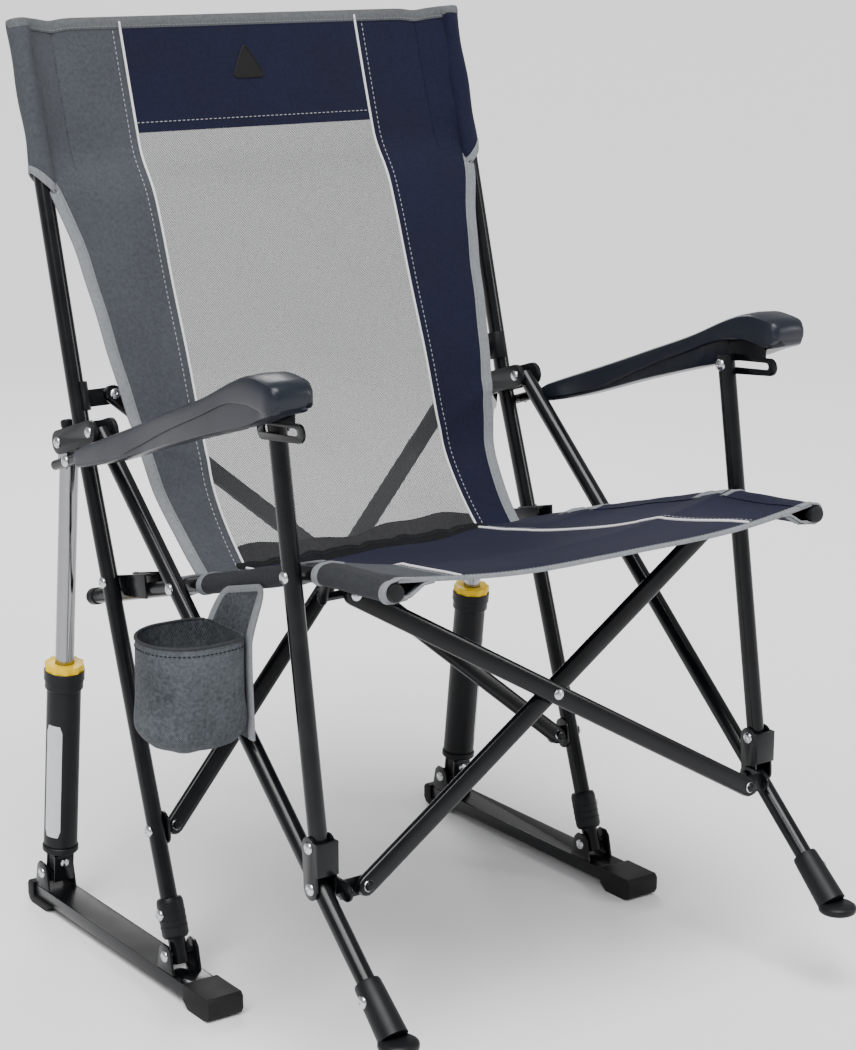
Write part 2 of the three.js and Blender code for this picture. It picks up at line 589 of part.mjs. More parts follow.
// A cheek under the seat rail with a cross barrel behind a front bar's upper end.
function frontBraceBracket(offset) {
  const face = SEAT_RAIL_X - SEAT_RAIL_R - GAP;
  const barrelR = 5;
  const behind = offset - BAR.thick / 2 - 2 - FRONT_OPEN_GAP - barrelR;
  const barrel = inPlane(FRONT_X, FRONT_X.upperX - 8, FRONT_X.upper, behind);
  const yz = [barrel.y, barrel.z];
  const top = [FRONT_X.upper[0] + 6, SEAT_BEND[1]];
  return join(
    plate(link(top, yz, 8), face - PLATE, face),
    pin(yz, FRONT_X.upperX - 8, face - 1, barrelR),
    rivetHead(top, face - PLATE, -1),
  );
}

// A clip that slides on the inner half of the upright, with a tab behind a rear bar's upper end.
function rearSlider(offset) {
  const z = REAR_X.upper[1];
  const sleeve = rod(onUpright(z - 16), onUpright(z + 16), TUBE_R + 4, 16);
  const bore = rod(onUpright(z - 40), onUpright(z + 40), TUBE_R + 0.6, 16);
  const outerHalf = block(FRAME_X, FRAME_X + 40, 100, 300, z - 60, z + 60);
  const { n } = planeOf(REAR_X);
  const behind = offset - BAR.thick / 2 - 2.5 - REAR_OPEN_GAP - PLATE;
  const tab = new THREE.ExtrudeGeometry(link([0, 0], [28, 0], 10),
    { depth: PLATE, bevelEnabled: false, curveSegments: 4 });
  placed(tab, inPlane(REAR_X, REAR_X.upperX, REAR_X.upper, behind), new THREE.Vector3(1, 0, 0), n);
  return cut(join(sleeve, tab), bore, outerHalf);
}

// ---------------------------------------------------------------- fabric

function backPanel() {
  const low = [108.4, 481];
  const high = [300, 1076];
  return plate([low, [low[0] + PANEL, low[1]], [high[0] + PANEL, high[1]], high], -284, 284);
}

function seatPanel() {
  const drop = 11.5;
  const rear = [92, seatZ(92) - drop];
  const bend = [SEAT_BEND[0], SEAT_BEND[1] - drop];
  const front = [-405, 545.5];
  const under = [rear, bend, front].map(([y, z]) => [y, z - PANEL]).reverse();
  return plate([rear, bend, front, ...under].reverse(), -262, 262);
}

// A round fabric cup hung from the right seat rail by a sloping flap.
function drinkHolder() {
  const { x, y, r, bottom, rim, wall } = HOLDER;
  const cup = new THREE.LatheGeometry([[0, 0], [r - 3, 0], [r, rim - bottom], [r - wall, rim - bottom],
    [r - 3 - wall, wall], [0, wall]].map(([a, b]) => new THREE.Vector2(a, b)), 28)
    .rotateX(Math.PI / 2)
    .translate(x, y, bottom);
  const flap = [[x - r + 1.5, rim - 22], [291.5, 506], [289.5, 505], [x - r - 1, rim - 22]];
  const sheet = new THREE.ExtrudeGeometry(
    new THREE.Shape(flap.map(([a, b]) => new THREE.Vector2(a, b)).reverse()),
    { depth: 84, bevelEnabled: false });
  placed(sheet, new THREE.Vector3(0, -93, 0), new THREE.Vector3(1, 0, 0), new THREE.Vector3(0, -1, 0));
  const inside = rod(new THREE.Vector3(x, y, bottom + wall), new THREE.Vector3(x, y, rim + 20),
    r - wall - 3, 28);
  return cut(join(cup, sheet), inside);
}

// ---------------------------------------------------------------- assembly

// The bar whose lower end is on the left lies in front of the other.
const frontOffset = (side) => (side === 'left' ? BAR.offset : -BAR.offset);
const backOffset = (side) => -frontOffset(side);

const SIDE_PIECES = {
  ground_rail: [groundRail, STEEL_BLACK],
  rail_front_cap: [() => railCap(RAIL.front, 1, 50), RUBBER],
  rail_rear_pad: [() => railCap(RAIL.rear, -1, 8), RUBBER],
  upright: [upright, STEEL_BLACK],
  leg_socket: [legSocket, PLASTIC_BLACK],
  front_leg: [frontLeg, STEEL_BLACK],
  front_foot: [frontFoot, PLASTIC_BLACK],
  arm_post: [armPost, STEEL_BLACK],
  seat_rail: [seatRail, STEEL_BLACK],
  seat_hanger: [seatHanger, STEEL_BLACK],
  post_bracket: [postBracket, STEEL_BLACK],
  upper_block: [upperBlock, PLASTIC_BLACK],
  armrest: [armrest, PLASTIC_SLATE],
  armrest_bar: [armrestBar, STEEL_BLACK],
  armrest_slot_bracket: [slotBracket, STEEL_BLACK],
  piston_lug: [pistonLug, STEEL_BLACK],
  piston_base: [pistonBase, PLASTIC_BLACK],
  piston_cylinder: [pistonCylinder, PLASTIC_BLACK],
  cylinder_ring: [cylinderRing, RING_YELLOW],
  piston_rod: [pistonRod, CHROME],
  rocker_spring: [rockerSpring, SPRING_STEEL],
  front_brace_link: [(side) => frontLink(frontOffset(side)), STEEL_BLACK],
  rear_brace_link: [(side) => rearLink(frontOffset(side)), STEEL_BLACK],
  front_brace_bracket: [(side) => frontBraceBracket(backOffset(side)), STEEL_BLACK],
  rear_brace_slider: [(side) => rearSlider(backOffset(side)), PLASTIC_BLACK],
};

const chair = new THREE.Group();

function add(name, geometry, material) {
  const mesh = new THREE.Mesh(geometry, material);
  mesh.name = name;
  chair.add(mesh);
}

for (const side of ['right', 'left']) {
  for (const [name, [make, material]] of Object.entries(SIDE_PIECES)) {
    const geometry = make(side);
    add(`${side}_${name}`, side === 'right' ? mirrored(geometry) : geometry, material);
  }
}

for (const [end, cross] of Object.entries({ front: FRONT_X, rear: REAR_X })) {
  add(`${end}_brace_a`, braceBar(cross, 1, BAR.offset), STEEL_BLACK);
  add(`${end}_brace_b`, braceBar(cross, -1, -BAR.offset), STEEL_BLACK);
  add(`${end}_brace_rivet`, centreRivet(cross), RIVET_STEEL);
}

add('back_panel', backPanel(), FABRIC_NAVY);
add('seat_panel', seatPanel(), FABRIC_NAVY);
add('drink_holder', mirrored(drinkHolder()), FABRIC_GREY);

// The origin is on the floor, under the middle of the whole chair's box.
const extent = new THREE.Box3().setFromObject(chair, true);
const middle = extent.getCenter(new THREE.Vector3());
chair.position.set(-middle.x, -middle.y, -extent.min.z);

export default chair;
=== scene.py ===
"""Looks of a folding camp rocking chair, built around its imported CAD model.

Lengths are millimetres in the chair's own plan and become metres in P(): x is measured
from the plane midway between the two side frames, y and z as in the CAD source."""

import json
import math

import bmesh
import bpy
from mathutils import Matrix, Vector

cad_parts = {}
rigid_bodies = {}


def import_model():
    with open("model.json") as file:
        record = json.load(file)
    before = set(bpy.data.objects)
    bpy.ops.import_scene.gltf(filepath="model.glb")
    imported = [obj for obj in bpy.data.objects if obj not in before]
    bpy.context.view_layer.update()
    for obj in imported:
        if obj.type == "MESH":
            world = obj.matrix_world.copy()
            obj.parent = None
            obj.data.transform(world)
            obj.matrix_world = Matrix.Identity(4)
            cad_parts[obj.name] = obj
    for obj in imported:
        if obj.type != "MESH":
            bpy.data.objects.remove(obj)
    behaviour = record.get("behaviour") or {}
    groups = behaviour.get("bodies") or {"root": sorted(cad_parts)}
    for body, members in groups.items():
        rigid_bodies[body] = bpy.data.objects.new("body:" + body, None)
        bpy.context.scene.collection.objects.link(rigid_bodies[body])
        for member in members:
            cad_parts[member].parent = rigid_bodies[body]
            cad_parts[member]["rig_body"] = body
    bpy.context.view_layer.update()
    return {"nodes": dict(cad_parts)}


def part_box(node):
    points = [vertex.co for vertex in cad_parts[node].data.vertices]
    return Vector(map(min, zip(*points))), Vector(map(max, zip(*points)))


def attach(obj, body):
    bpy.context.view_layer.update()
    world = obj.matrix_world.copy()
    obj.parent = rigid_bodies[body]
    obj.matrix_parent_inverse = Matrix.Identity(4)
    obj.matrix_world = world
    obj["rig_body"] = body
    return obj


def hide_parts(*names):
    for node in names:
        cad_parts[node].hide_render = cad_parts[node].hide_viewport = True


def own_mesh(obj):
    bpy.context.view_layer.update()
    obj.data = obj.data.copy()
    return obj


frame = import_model()
NODES = frame["nodes"]

# ---- places taken from the frame

RIGHT_RAIL, LEFT_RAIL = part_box("right_ground_rail"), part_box("left_ground_rail")
MID_X = (RIGHT_RAIL[0].x + LEFT_RAIL[1].x) / 2
RAIL_FRONT_Y = -102
SHIFT_Y = LEFT_RAIL[0].y - RAIL_FRONT_Y / 1000


def P(x, y, z):
    """A point of the chair's plan, in metres in the row frame."""
    return Vector((x / 1000 + MID_X, y / 1000 + SHIFT_Y, z / 1000))


SIDES = {"right": -1, "left": 1}

FRAME_X = 302
TUBE_R = 10
SEAT_RAIL_X = 279.5
SEAT_RAIL_R = 9
BEND_Z = 606
UPRIGHT_BOTTOM, UPRIGHT_TOP = 33, 1064
LOWER_LEAN, UPPER_LEAN = 0.339, 0.2765
LEG_FOOT, LEG_LEAN = (-392.1, 146), 1.1118
POST_BASE, POST_TOP = (-303, 268), (-234, 695)
BLOCK_FRONT, BLOCK_REAR = (143, 626), (221, 601)
LINK_PIVOT = (-305.6, 223.8)
ROCK_PIVOT, PISTON_PIVOT = (-6, 44), (299, 46)
HANGER_PIVOT = (81, 449.4)
SEAT_SLOPE = -0.279
SEAT_BEND = (-270, 547.4)
SEAT_FRONT = (-411, 557)
SEAT_REAR_Y = 218
SEAT_RAIL_RIVET = (-272, 547.4)
INNER_RIVET_X = 267.4
FRONT_X = {"lower": (-331, 223), "upper": (-278, 520), "lower_x": 259, "upper_x": 244}
REAR_X = {"lower": (39.8, 179), "upper": (188, 656), "lower_x": 275, "upper_x": 264}
BAR_OFFSET, BAR_THICK = 5.8, 11
PISTON_LEAN = math.radians(6.865)
PISTON_OFFSET = 11.1

# Cloth that spans the chair rides a right-hand body.
BACK = ("right_frame", FRAME_X)
SEAT = ("right_seat_rail", SEAT_RAIL_X)


def clamp(value):
    return min(max(value, 0), 1)


def upright_y(z):
    bend = ROCK_PIVOT[0] + LOWER_LEAN * (BEND_Z - ROCK_PIVOT[1])
    return bend + (LOWER_LEAN if z < BEND_Z else UPPER_LEAN) * (z - BEND_Z)


def leg_y(z):
    return LEG_FOOT[0] + LEG_LEAN * (z - LEG_FOOT[1])


def post_y(z):
    share = (z - POST_BASE[1]) / (POST_TOP[1] - POST_BASE[1])
    return POST_BASE[0] + share * (POST_TOP[0] - POST_BASE[0])


def seat_z(y):
    if y > SEAT_BEND[0]:
        return HANGER_PIVOT[1] + SEAT_SLOPE * (y - HANGER_PIVOT[0])
    slope = (SEAT_FRONT[1] - SEAT_BEND[1]) / (SEAT_FRONT[0] - SEAT_BEND[0])
    return SEAT_BEND[1] + slope * (y - SEAT_BEND[0])


def piston(h, d=0):
    """[y, z] of a point h up the strut's axis and d to its rear."""
    up = (-math.sin(PISTON_LEAN), math.cos(PISTON_LEAN))
    foot = (PISTON_PIVOT[0] - PISTON_OFFSET * up[1], PISTON_PIVOT[1] + PISTON_OFFSET * up[0])
    return (foot[0] + h * up[0] + d * up[1], foot[1] + h * up[1] - d * up[0])


# ---- camera, lights and floor


def make_camera():
    data = bpy.data.cameras.new("camera")
    data.sensor_width = 36
    data.lens = 85.86
    camera = bpy.data.objects.new("camera", data)
    camera.location = P(-1606.9, -2334.0, 1205.9)
    camera.rotation_euler = (math.radians(90 - 13.953), 0, math.radians(-35.375))
    bpy.context.scene.collection.objects.link(camera)
    bpy.context.scene.camera = camera


def add_light(name, kind, energy):
    data = bpy.data.lights.new(name, kind)
    data.energy = energy
    lamp = bpy.data.objects.new(name, data)
    bpy.context.scene.collection.objects.link(lamp)
    return data, lamp


def make_stage():
    mesh = bpy.data.meshes.new("floor")
    reach = 80
    corners = [(-reach, -reach, 0), (reach, -reach, 0), (reach, reach, 0), (-reach, reach, 0)]
    mesh.from_pydata(corners, [], [(0, 1, 2, 3)])
    floor = bpy.data.objects.new("floor", mesh)
    bpy.context.scene.collection.objects.link(floor)
    material = bpy.data.materials.new("floor")
    material.use_nodes = True
    shader = material.node_tree.nodes["Principled BSDF"]
    shader.inputs["Base Color"].default_value = (0.86, 0.86, 0.87, 1)
    shader.inputs["Roughness"].default_value = 0.85
    mesh.materials.append(material)

    world = bpy.data.worlds.new("studio")
    bpy.context.scene.world = world
    world.use_nodes = True
    world.node_tree.nodes["Background"].inputs["Color"].default_value = (1, 1, 1, 1)
    world.node_tree.nodes["Background"].inputs["Strength"].default_value = 0.50

    for name, place, size, energy in (
        ("key", (-2.3, -1.3, 2.4), 0.9, 30),
        ("fill", (2.4, -2.2, 1.5), 0.8, 20),
        ("rim", (1.2, 2.6, 2.2), 0.9, 34),
    ):
        data, lamp = add_light(name, "AREA", energy)
        data.size = size
        lamp.location = place
        aim = Vector((0, 0, 0.55)) - lamp.location
        lamp.rotation_euler = aim.to_track_quat("-Z", "Y").to_euler()
    data, lamp = add_light("overhead", "SUN", 4.0)
    data.angle = math.radians(35)
    lamp.rotation_euler = (math.radians(18), math.radians(-14), 0)


make_camera()
make_stage()

# ---- materials


class Nodes:
    """Short names for building a material's node tree."""

    def __init__(self, name):
        self.material = bpy.data.materials.new(name)
        self.material.use_nodes = True
        self.tree = self.material.node_tree
        self.shader = self.tree.nodes["Principled BSDF"]

    def add(self, kind, **values):
        node = self.tree.nodes.new(kind)
        for name, value in values.items():
            setattr(node, name, value)
        return node

    def put(self, socket, value):
        """Gives a socket a number or a colour, or links another node's output to it."""
        if isinstance(value, tuple):
            socket.default_value = (*value, 1)
        elif isinstance(value, (int, float)):
            socket.default_value = value
        else:
            self.tree.links.new(value, socket)

    def feed(self, name, value):
        self.put(self.shader.inputs[name], value)

    def coords(self, kind):
        return self.add("ShaderNodeTexCoord").outputs[kind]

    def wired(self, kind, output, **inputs):
        """An output of a new node, whose inputs are given by name with _ for a space."""
        node = self.add(kind)
        for name, value in inputs.items():
            self.put(node.inputs[name.replace("_", " ")], value)
        return node.outputs[output]

    def noise(self, scale, detail=2.0):
        return self.wired("ShaderNodeTexNoise", "Fac", Scale=scale, Detail=detail,
                          Vector=self.coords("Object"))

    def uv(self):
        split = self.add("ShaderNodeSeparateXYZ")
        self.put(split.inputs[0], self.coords("UV"))
        return split.outputs["X"], split.outputs["Y"]

    def math(self, operation, *values):
        node = self.add("ShaderNodeMath", operation=operation)
        for socket, value in zip(node.inputs, values):
            self.put(socket, value)
        return node.outputs["Value"]

    def ramp(self, value, low, high):
        return self.wired("ShaderNodeMapRange", "Result", Value=value, To_Min=low, To_Max=high)

    def mix(self, share, a, b):
        node = self.add("ShaderNodeMix", data_type="RGBA")
        for socket, value in ((node.inputs["Factor"], share), (node.inputs[6], a), (node.inputs[7], b)):
            self.put(socket, value)
        return node.outputs[2]

    def bump(self, height, strength, distance):
        self.feed("Normal", self.wired("ShaderNodeBump", "Normal", Strength=strength, Distance=distance,
                                       Height=height))


def coated_steel():
    n = Nodes("powder_coated_steel")
    wear = n.ramp(n.noise(35, 5), -0.6, 1.1)
    n.feed("Base Color", n.mix(wear, (0.003, 0.0032, 0.004), (0.009, 0.0095, 0.011)))
    n.feed("Roughness", n.ramp(n.noise(18, 6), 0.14, 0.30))
    n.feed("Specular IOR Level", 0.26)
    n.bump(n.noise(900, 2), 0.12, 0.0004)
    return n.material


def moulded(name, dark, light, rough, grain=1400, gloss=0.2):
    n = Nodes(name)
    n.feed("Specular IOR Level", gloss)
    n.feed("Base Color", n.mix(n.ramp(n.noise(22, 5), 0, 1), dark, light))
    n.feed("Roughness", n.ramp(n.noise(40, 4), rough - 0.07, rough + 0.08))
    n.bump(n.noise(grain, 3), 0.25, 0.0003)
    return n.material


def polished(name, color, rough):
    n = Nodes(name)
    n.feed("Base Color", n.mix(n.ramp(n.noise(60, 3), 0, 1), tuple(0.93 * c for c in color), color))
    n.feed("Roughness", n.ramp(n.noise(120, 4), rough * 0.7, rough * 1.5))
    n.feed("Metallic", 1.0)
    n.bump(n.noise(700, 2), 0.05, 0.0002)
    return n.material


def cloth(name, dark, light, per_metre=620, strength=0.35, mottle=0.7):
    """Plain weave from the sheet's own UV lengths: over and under threads in both directions."""
    n = Nodes(name)
    turn = 2 * math.pi * per_metre
    weave = n.math("MULTIPLY", *[n.math("SINE", n.math("MULTIPLY", way, turn)) for way in n.uv()])
    slub = n.noise(260, 3)
    patch = n.noise(9, 4)
    cloudy = n.math("ADD", slub, n.math("MULTIPLY", patch, mottle))
    share = n.math("ADD", n.math("MULTIPLY", weave, 0.22), cloudy)
    n.feed("Base Color", n.mix(n.math("SUBTRACT", share, 0.08 + mottle / 2), dark, light))
    n.feed("Roughness", n.ramp(patch, 0.72, 0.9))
    n.feed("Sheen Weight", 0.03)
    n.feed("Specular IOR Level", 0.16)
    n.bump(n.math("ADD", weave, n.math("MULTIPLY", slub, 0.8)), strength, 0.0005)
    return n.material


def netting(name, dark, light, thread, per_metre=420):
    """Open mesh: threads on both diagonals with small holes between."""
    n = Nodes(name)
    u, v = n.uv()
    turn = 2 * math.pi * per_metre
    diagonals = [n.math("MULTIPLY", n.math(way, u, v), turn) for way in ("ADD", "SUBTRACT")]
    threads = n.math("MAXIMUM", *[n.math("SINE", diagonal) for diagonal in diagonals])
    n.feed("Alpha", n.math("GREATER_THAN", threads, thread))
    n.feed("Base Color", n.mix(n.ramp(n.noise(7, 4), 0, 1), dark, light))
    n.feed("Roughness", 0.75)
    n.bump(threads, 0.5, 0.0006)
    return n.material


# A finish is a material with the record's slot for it.
STEEL = (coated_steel(), "steel_black")
PLASTIC = (moulded("black_plastic", (0.0045, 0.0048, 0.0056), (0.010, 0.0105, 0.012), 0.42),
           "plastic_black")
SLATE = (moulded("slate_plastic", (0.0075, 0.0100, 0.0160), (0.0118, 0.0152, 0.0235), 0.33, 900, 0.30),
         "plastic_slate")
RUBBER = (moulded("black_rubber", (0.005, 0.005, 0.0055), (0.011, 0.011, 0.011), 0.60), "rubber_black")
YELLOW = (moulded("yellow_plastic", (0.76, 0.47, 0.0015), (0.88, 0.58, 0.003), 0.36), "plastic_yellow")
LABEL = (moulded("label_film", (0.50, 0.52, 0.54), (0.62, 0.64, 0.66), 0.35), "fabric_piping")
CHROME = (polished("chrome", (0.30, 0.30, 0.31), 0.10), "chrome_rod")
RIVET = (polished("rivet_steel", (0.60, 0.61, 0.63), 0.24), "rivet_steel")
SPRING = (polished("spring_steel", (0.33, 0.34, 0.35), 0.35), "spring_steel")
NAVY = (cloth("navy_polyester", (0.0035, 0.0042, 0.0145), (0.010, 0.0115, 0.036)), "fabric_navy")
GREY = (cloth("grey_polyester", (0.037, 0.041, 0.048), (0.077, 0.084, 0.096)), "fabric_grey")
MOTTLED = (cloth("mottled_polyester", (0.022, 0.026, 0.031), (0.125, 0.138, 0.152), 420, 0.5, 1.6),
           "fabric_grey")
RAIL_GREY = (cloth("rail_sleeve_polyester", (0.016, 0.018, 0.020), (0.040, 0.043, 0.048)), "fabric_grey")
BLACK_WEAVE = cloth("black_strip", (0.003, 0.003, 0.004), (0.013, 0.013, 0.016), 400, 0.6)
DARK = (BLACK_WEAVE, "fabric_navy")
DARK_THREAD = (BLACK_WEAVE, "fabric_grey")
TRIM = (cloth("light_binding", (0.16, 0.171, 0.182), (0.27, 0.284, 0.30), 420, 0.5), "fabric_trim")
HEM = (cloth("top_hem_binding", (0.068, 0.073, 0.078), (0.14, 0.148, 0.158), 420, 0.5), "fabric_trim")
PIPING = (cloth("white_piping", (0.62, 0.62, 0.63), (0.84, 0.84, 0.85), 500, 0.4), "fabric_piping")
THREAD = (cloth("pale_thread", (0.24, 0.245, 0.26), (0.40, 0.405, 0.42), 500, 0.4), "fabric_piping")
NET = (netting("open_mesh_fabric", (0.036, 0.037, 0.040), (0.062, 0.064, 0.068), 0.50), "fabric_mesh")
NET_DOUBLED = (cloth("doubled_mesh_fabric", (0.016, 0.016, 0.018), (0.040, 0.040, 0.043), 300, 0.6),
               "fabric_mesh")
SIDE_CLOTH = {"right": GREY, "left": NAVY}

# ---- mesh helpers


def from_bmesh(name, bm):
    bmesh.ops.recalc_face_normals(bm, faces=bm.faces)
    mesh = bpy.data.meshes.new(name)
    bm.to_mesh(mesh)
    bm.free()
    return mesh


def add_object(name, shape, finish, carrier, nodes=()):
    """Links a finished mesh as a piece of the chair; it stands for the CAD nodes named.

    The carrier is a body, or BACK or SEAT for cloth that spans the chair, which gets its own copy of its
    mesh."""
    mesh = from_bmesh(name, shape) if isinstance(shape, bmesh.types.BMesh) else shape
    material, slot = finish
    for face in mesh.polygons:
        face.use_smooth = True
    mesh.set_sharp_from_angle(angle=math.radians(38))
    mesh.materials.clear()
    mesh.materials.append(material)
    piece = bpy.data.objects.new(name, mesh)
    bpy.context.scene.collection.objects.link(piece)
    body, half = carrier if isinstance(carrier, tuple) else (carrier, None)
    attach(piece, body)
    if nodes:
        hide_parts(*nodes)
    if half:
        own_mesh(piece)
    return piece


def modified(mesh, kind, **settings):
    """The mesh as one modifier leaves it."""
    holder = bpy.data.objects.new("holder", mesh)
    bpy.context.scene.collection.objects.link(holder)
    modifier = holder.modifiers.new("modifier", kind)
    for name, value in settings.items():
        setattr(modifier, name, value)
    graph = bpy.context.evaluated_depsgraph_get()
    done = bpy.data.meshes.new_from_object(holder.evaluated_get(graph))
    bpy.data.objects.remove(holder)
    return done


def refined(node, finish, bevel=0.9, dissolve=1.0):
    """The CAD node's own shape with eased edges, as a piece that stands for it."""
    source = NODES[node]
    bm = bmesh.new()
    bm.from_mesh(source.data)
    bmesh.ops.remove_doubles(bm, verts=bm.verts, dist=1e-5)
    bmesh.ops.dissolve_limit(
        bm, angle_limit=math.radians(dissolve), verts=bm.verts, edges=bm.edges)
    mesh = modified(from_bmesh(node, bm), "BEVEL", width=bevel / 1000, segments=2, limit_method="ANGLE",
                    angle_limit=math.radians(32), harden_normals=False)
    return add_object(node + "_fine", mesh, finish, source["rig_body"], [node])


def thick_mesh(bm, thickness):
    """The surface with half the cloth's thickness added on each side."""
    return modified(from_bmesh("sheet", bm), "SOLIDIFY", thickness=thickness / 1000, offset=0)


def loft(bm, rings, closed=True, cap=True):
    """Joins rings or rows of points with quads; they all have the same number of points."""
    rows = [[bm.verts.new(p) for p in ring] for ring in rings]
    count = len(rows[0])
    for a, b in zip(rows, rows[1:]):
        for i in range(count if closed else count - 1):
            j = (i + 1) % count
            bm.faces.new((a[i], a[j], b[j], b[i]))
    if cap and closed:
        bm.faces.new(rows[0])
        bm.faces.new(reversed(rows[-1]))
    return rows


def ring_at(centre, direction, radius, sides=32):
    turn = Vector((0, 0, 1)).rotation_difference(direction)
    angles = [2 * math.pi * i / sides for i in range(sides)]
    return [centre + turn @ Vector((radius * math.cos(a), radius * math.sin(a), 0)) for a in angles]


def turned(bm, profile, a, b, sides=40):
    """A turned solid: [distance, radius] pairs in millimetres on the line from a towards b."""
    direction = (b - a).normalized()
    loft(bm, [ring_at(a + direction * (h / 1000), direction, r / 1000, sides) for h, r in profile])


def turned_piece(name, profiles, a, b, sides, finish, carrier, nodes=()):
    bm = bmesh.new()
    for profile in profiles:
        turned(bm, profile, a, b, sides)
    add_object(name, bm, finish, carrier, nodes)


def tube(bm, points, radius, sides=32, edge=0.8):
    """A round tube through the points, with mitred corners and eased ends."""
    rings = []
    count = len(points)
    for i, point in enumerate(points):
        arriving = (points[max(i, 1)] - points[max(i, 1) - 1]).normalized()
        leaving = (points[min(i, count - 2) + 1] - points[min(i, count - 2)]).normalized()
        direction = (arriving + leaving).normalized()
        stops = [(0, radius)]
        if i == 0:
            stops = [(0, radius - edge), (edge, radius)]
        elif i == count - 1:
            stops = [(-edge, radius), (0, radius - edge)]
        rings += [ring_at(point + direction * h / 1000, direction, r / 1000, sides) for h, r in stops]
    loft(bm, rings)


def dome(bm, base, direction, radius=6.4, height=3.4):
    """A rivet head: a low dome with a dimple in its crown."""
    profile = [(-0.4, radius)]
    for i in range(7):
        angle = math.radians(90 * i / 7)
        profile.append((height * math.sin(angle), radius * math.cos(angle) ** 0.9))
    profile.append((height * 0.80, radius * 0.16))
    turned(bm, profile, base, base + direction, 24)


def uv_sheet(bm, rows, lengths):
    """Gives a grid of vertices UVs that are real lengths, so a weave keeps its scale."""
    layer = bm.loops.layers.uv.verify()
    place = {vert: lengths(i, j) for j, row in enumerate(rows) for i, vert in enumerate(row)}
    for face in bm.faces:
        for loop in face.loops:
            loop[layer].uv = place[loop.vert]


def uv_tube(bm, rows, lengths):
    """The same for closed rows of vertices, whose last face closes the ring."""
    layer = bm.loops.layers.uv.verify()
    sides = len(rows[0])
    for j, (a, b) in enumerate(zip(rows, rows[1:])):
        for i in range(sides):
            k = (i + 1) % sides
            for face in set(a[i].link_faces) & set(b[k].link_faces):
                for loop in face.loops:
                    around = i if loop.vert in (a[i], b[i]) else i + 1
                    up = j if loop.vert in (a[i], a[k]) else j + 1
                    loop[layer].uv = lengths(around, up)


def travelled(points):
    """The distance along a polyline at each of its points."""
    distances = [0.0]
    for a, b in zip(points, points[1:]):
        distances.append(distances[-1] + (b - a).length)
    return distances


def along_path(points):
    """The tangent at each point of a polyline."""
    last = len(points) - 1
    return [(points[min(i + 1, last)] - points[max(i - 1, 0)]).normalized() for i in range(last + 1)]


def grid_sheet(name, point, us, vs, thickness, finish, carrier):
    """A sheet of cloth over a grid: point(u, v) in millimetres, UVs from distances."""
    bm = bmesh.new()
    rows = loft(bm, [[P(*point(u, v)) for u in us] for v in vs], closed=False)
    across = []
    for row in rows:
        distances = travelled([vert.co for vert in row])
        across.append([d - distances[-1] / 2 for d in distances])
    along = travelled([row[len(us) // 2].co for row in rows])
    uv_sheet(bm, rows, lambda i, j: (across[j][i], along[j]))
    return add_object(name, thick_mesh(bm, thickness), finish, carrier)


def ribbon(bm, centres, acrosses, normals, width, thick):
    """A flat band swept along its centre line, with rounded edges."""
    bm.loops.layers.uv.verify()
    section = []
    for i in range(12):
        c, s = math.cos(2 * math.pi * i / 12), math.sin(2 * math.pi * i / 12)
        x = math.copysign(abs(c) ** 0.35, c) * width / 2
        z = math.copysign(abs(s) ** 0.6, s) * thick / 2
        section.append((x / 1000, z / 1000))
    rings = []
    for centre, across, normal in zip(centres, acrosses, normals):
        rings.append([centre + across * x + normal * z for x, z in section])
    distances = travelled(centres)
    uv_tube(bm, loft(bm, rings), lambda i, j: (section[i % 12][0], distances[j]))


def band(name, places, width, thick, finish, carrier):
    """A ribbon through [point, normal] pairs, whose faces look along the normals."""
    points, normals = zip(*places)
    bm = bmesh.new()
    tangents = along_path(points)
    acrosses = [t.cross(n).normalized() for t, n in zip(tangents, normals)]
    squared = [a.cross(t).normalized() for a, t in zip(acrosses, tangents)]
    ribbon(bm, points, acrosses, squared, width, thick)
    return add_object(name, bm, finish, carrier)


def cord_line(name, points, radius, finish, carrier):
    bm = bmesh.new()
    tube(bm, points, radius, 10, 0.3)
    return add_object(name, bm, finish, carrier)


def stitches(name, points, finish, carrier, pitch=6.2, length=3.9, radius=0.55):
    """A dashed row of thread along a polyline."""
    marks = [1000 * distance for distance in travelled(points)]

    def at(distance):
        k = 0
        while k < len(points) - 2 and marks[k + 1] < distance:
            k += 1
        return points[k].lerp(points[k + 1], (distance - marks[k]) / (marks[k + 1] - marks[k]))

    bm = bmesh.new()
    due = 0.5
    while due + length < marks[-1]:
        start, end = at(due), at(due + length)
        direction = (end - start).normalized()
        loft(bm, [ring_at(start.lerp(end, share), direction, radius * size / 1000, 6)
                  for share, size in ((0, 0.35), (0.2, 1), (0.8, 1), (1, 0.35))])
        due += pitch
    return add_object(name, bm, finish, carrier)


def spaced(low, high, count):
    return [low + (high - low) * i / (count - 1) for i in range(count)]


def blendable(table):
    """A smooth curve through [place, value] pairs."""
    def value(t):
        if t <= table[0][0]:
            return table[0][1]
        for k in range(len(table) - 1):
            (a, va), (b, vb) = table[k], table[k + 1]
            if t <= b:
                before = table[max(k - 1, 0)]
                after = table[min(k + 2, len(table) - 1)]
                ma = (vb - before[1]) / (b - before[0])
                mb = (after[1] - va) / (after[0] - a)
                h = b - a
                s = (t - a) / h
                return ((2 * s**3 - 3 * s**2 + 1) * va + (s**3 - 2 * s**2 + s) * h * ma
                        + (-2 * s**3 + 3 * s**2) * vb + (s**3 - s**2) * h * mb)
        return table[-1][1]
    return value


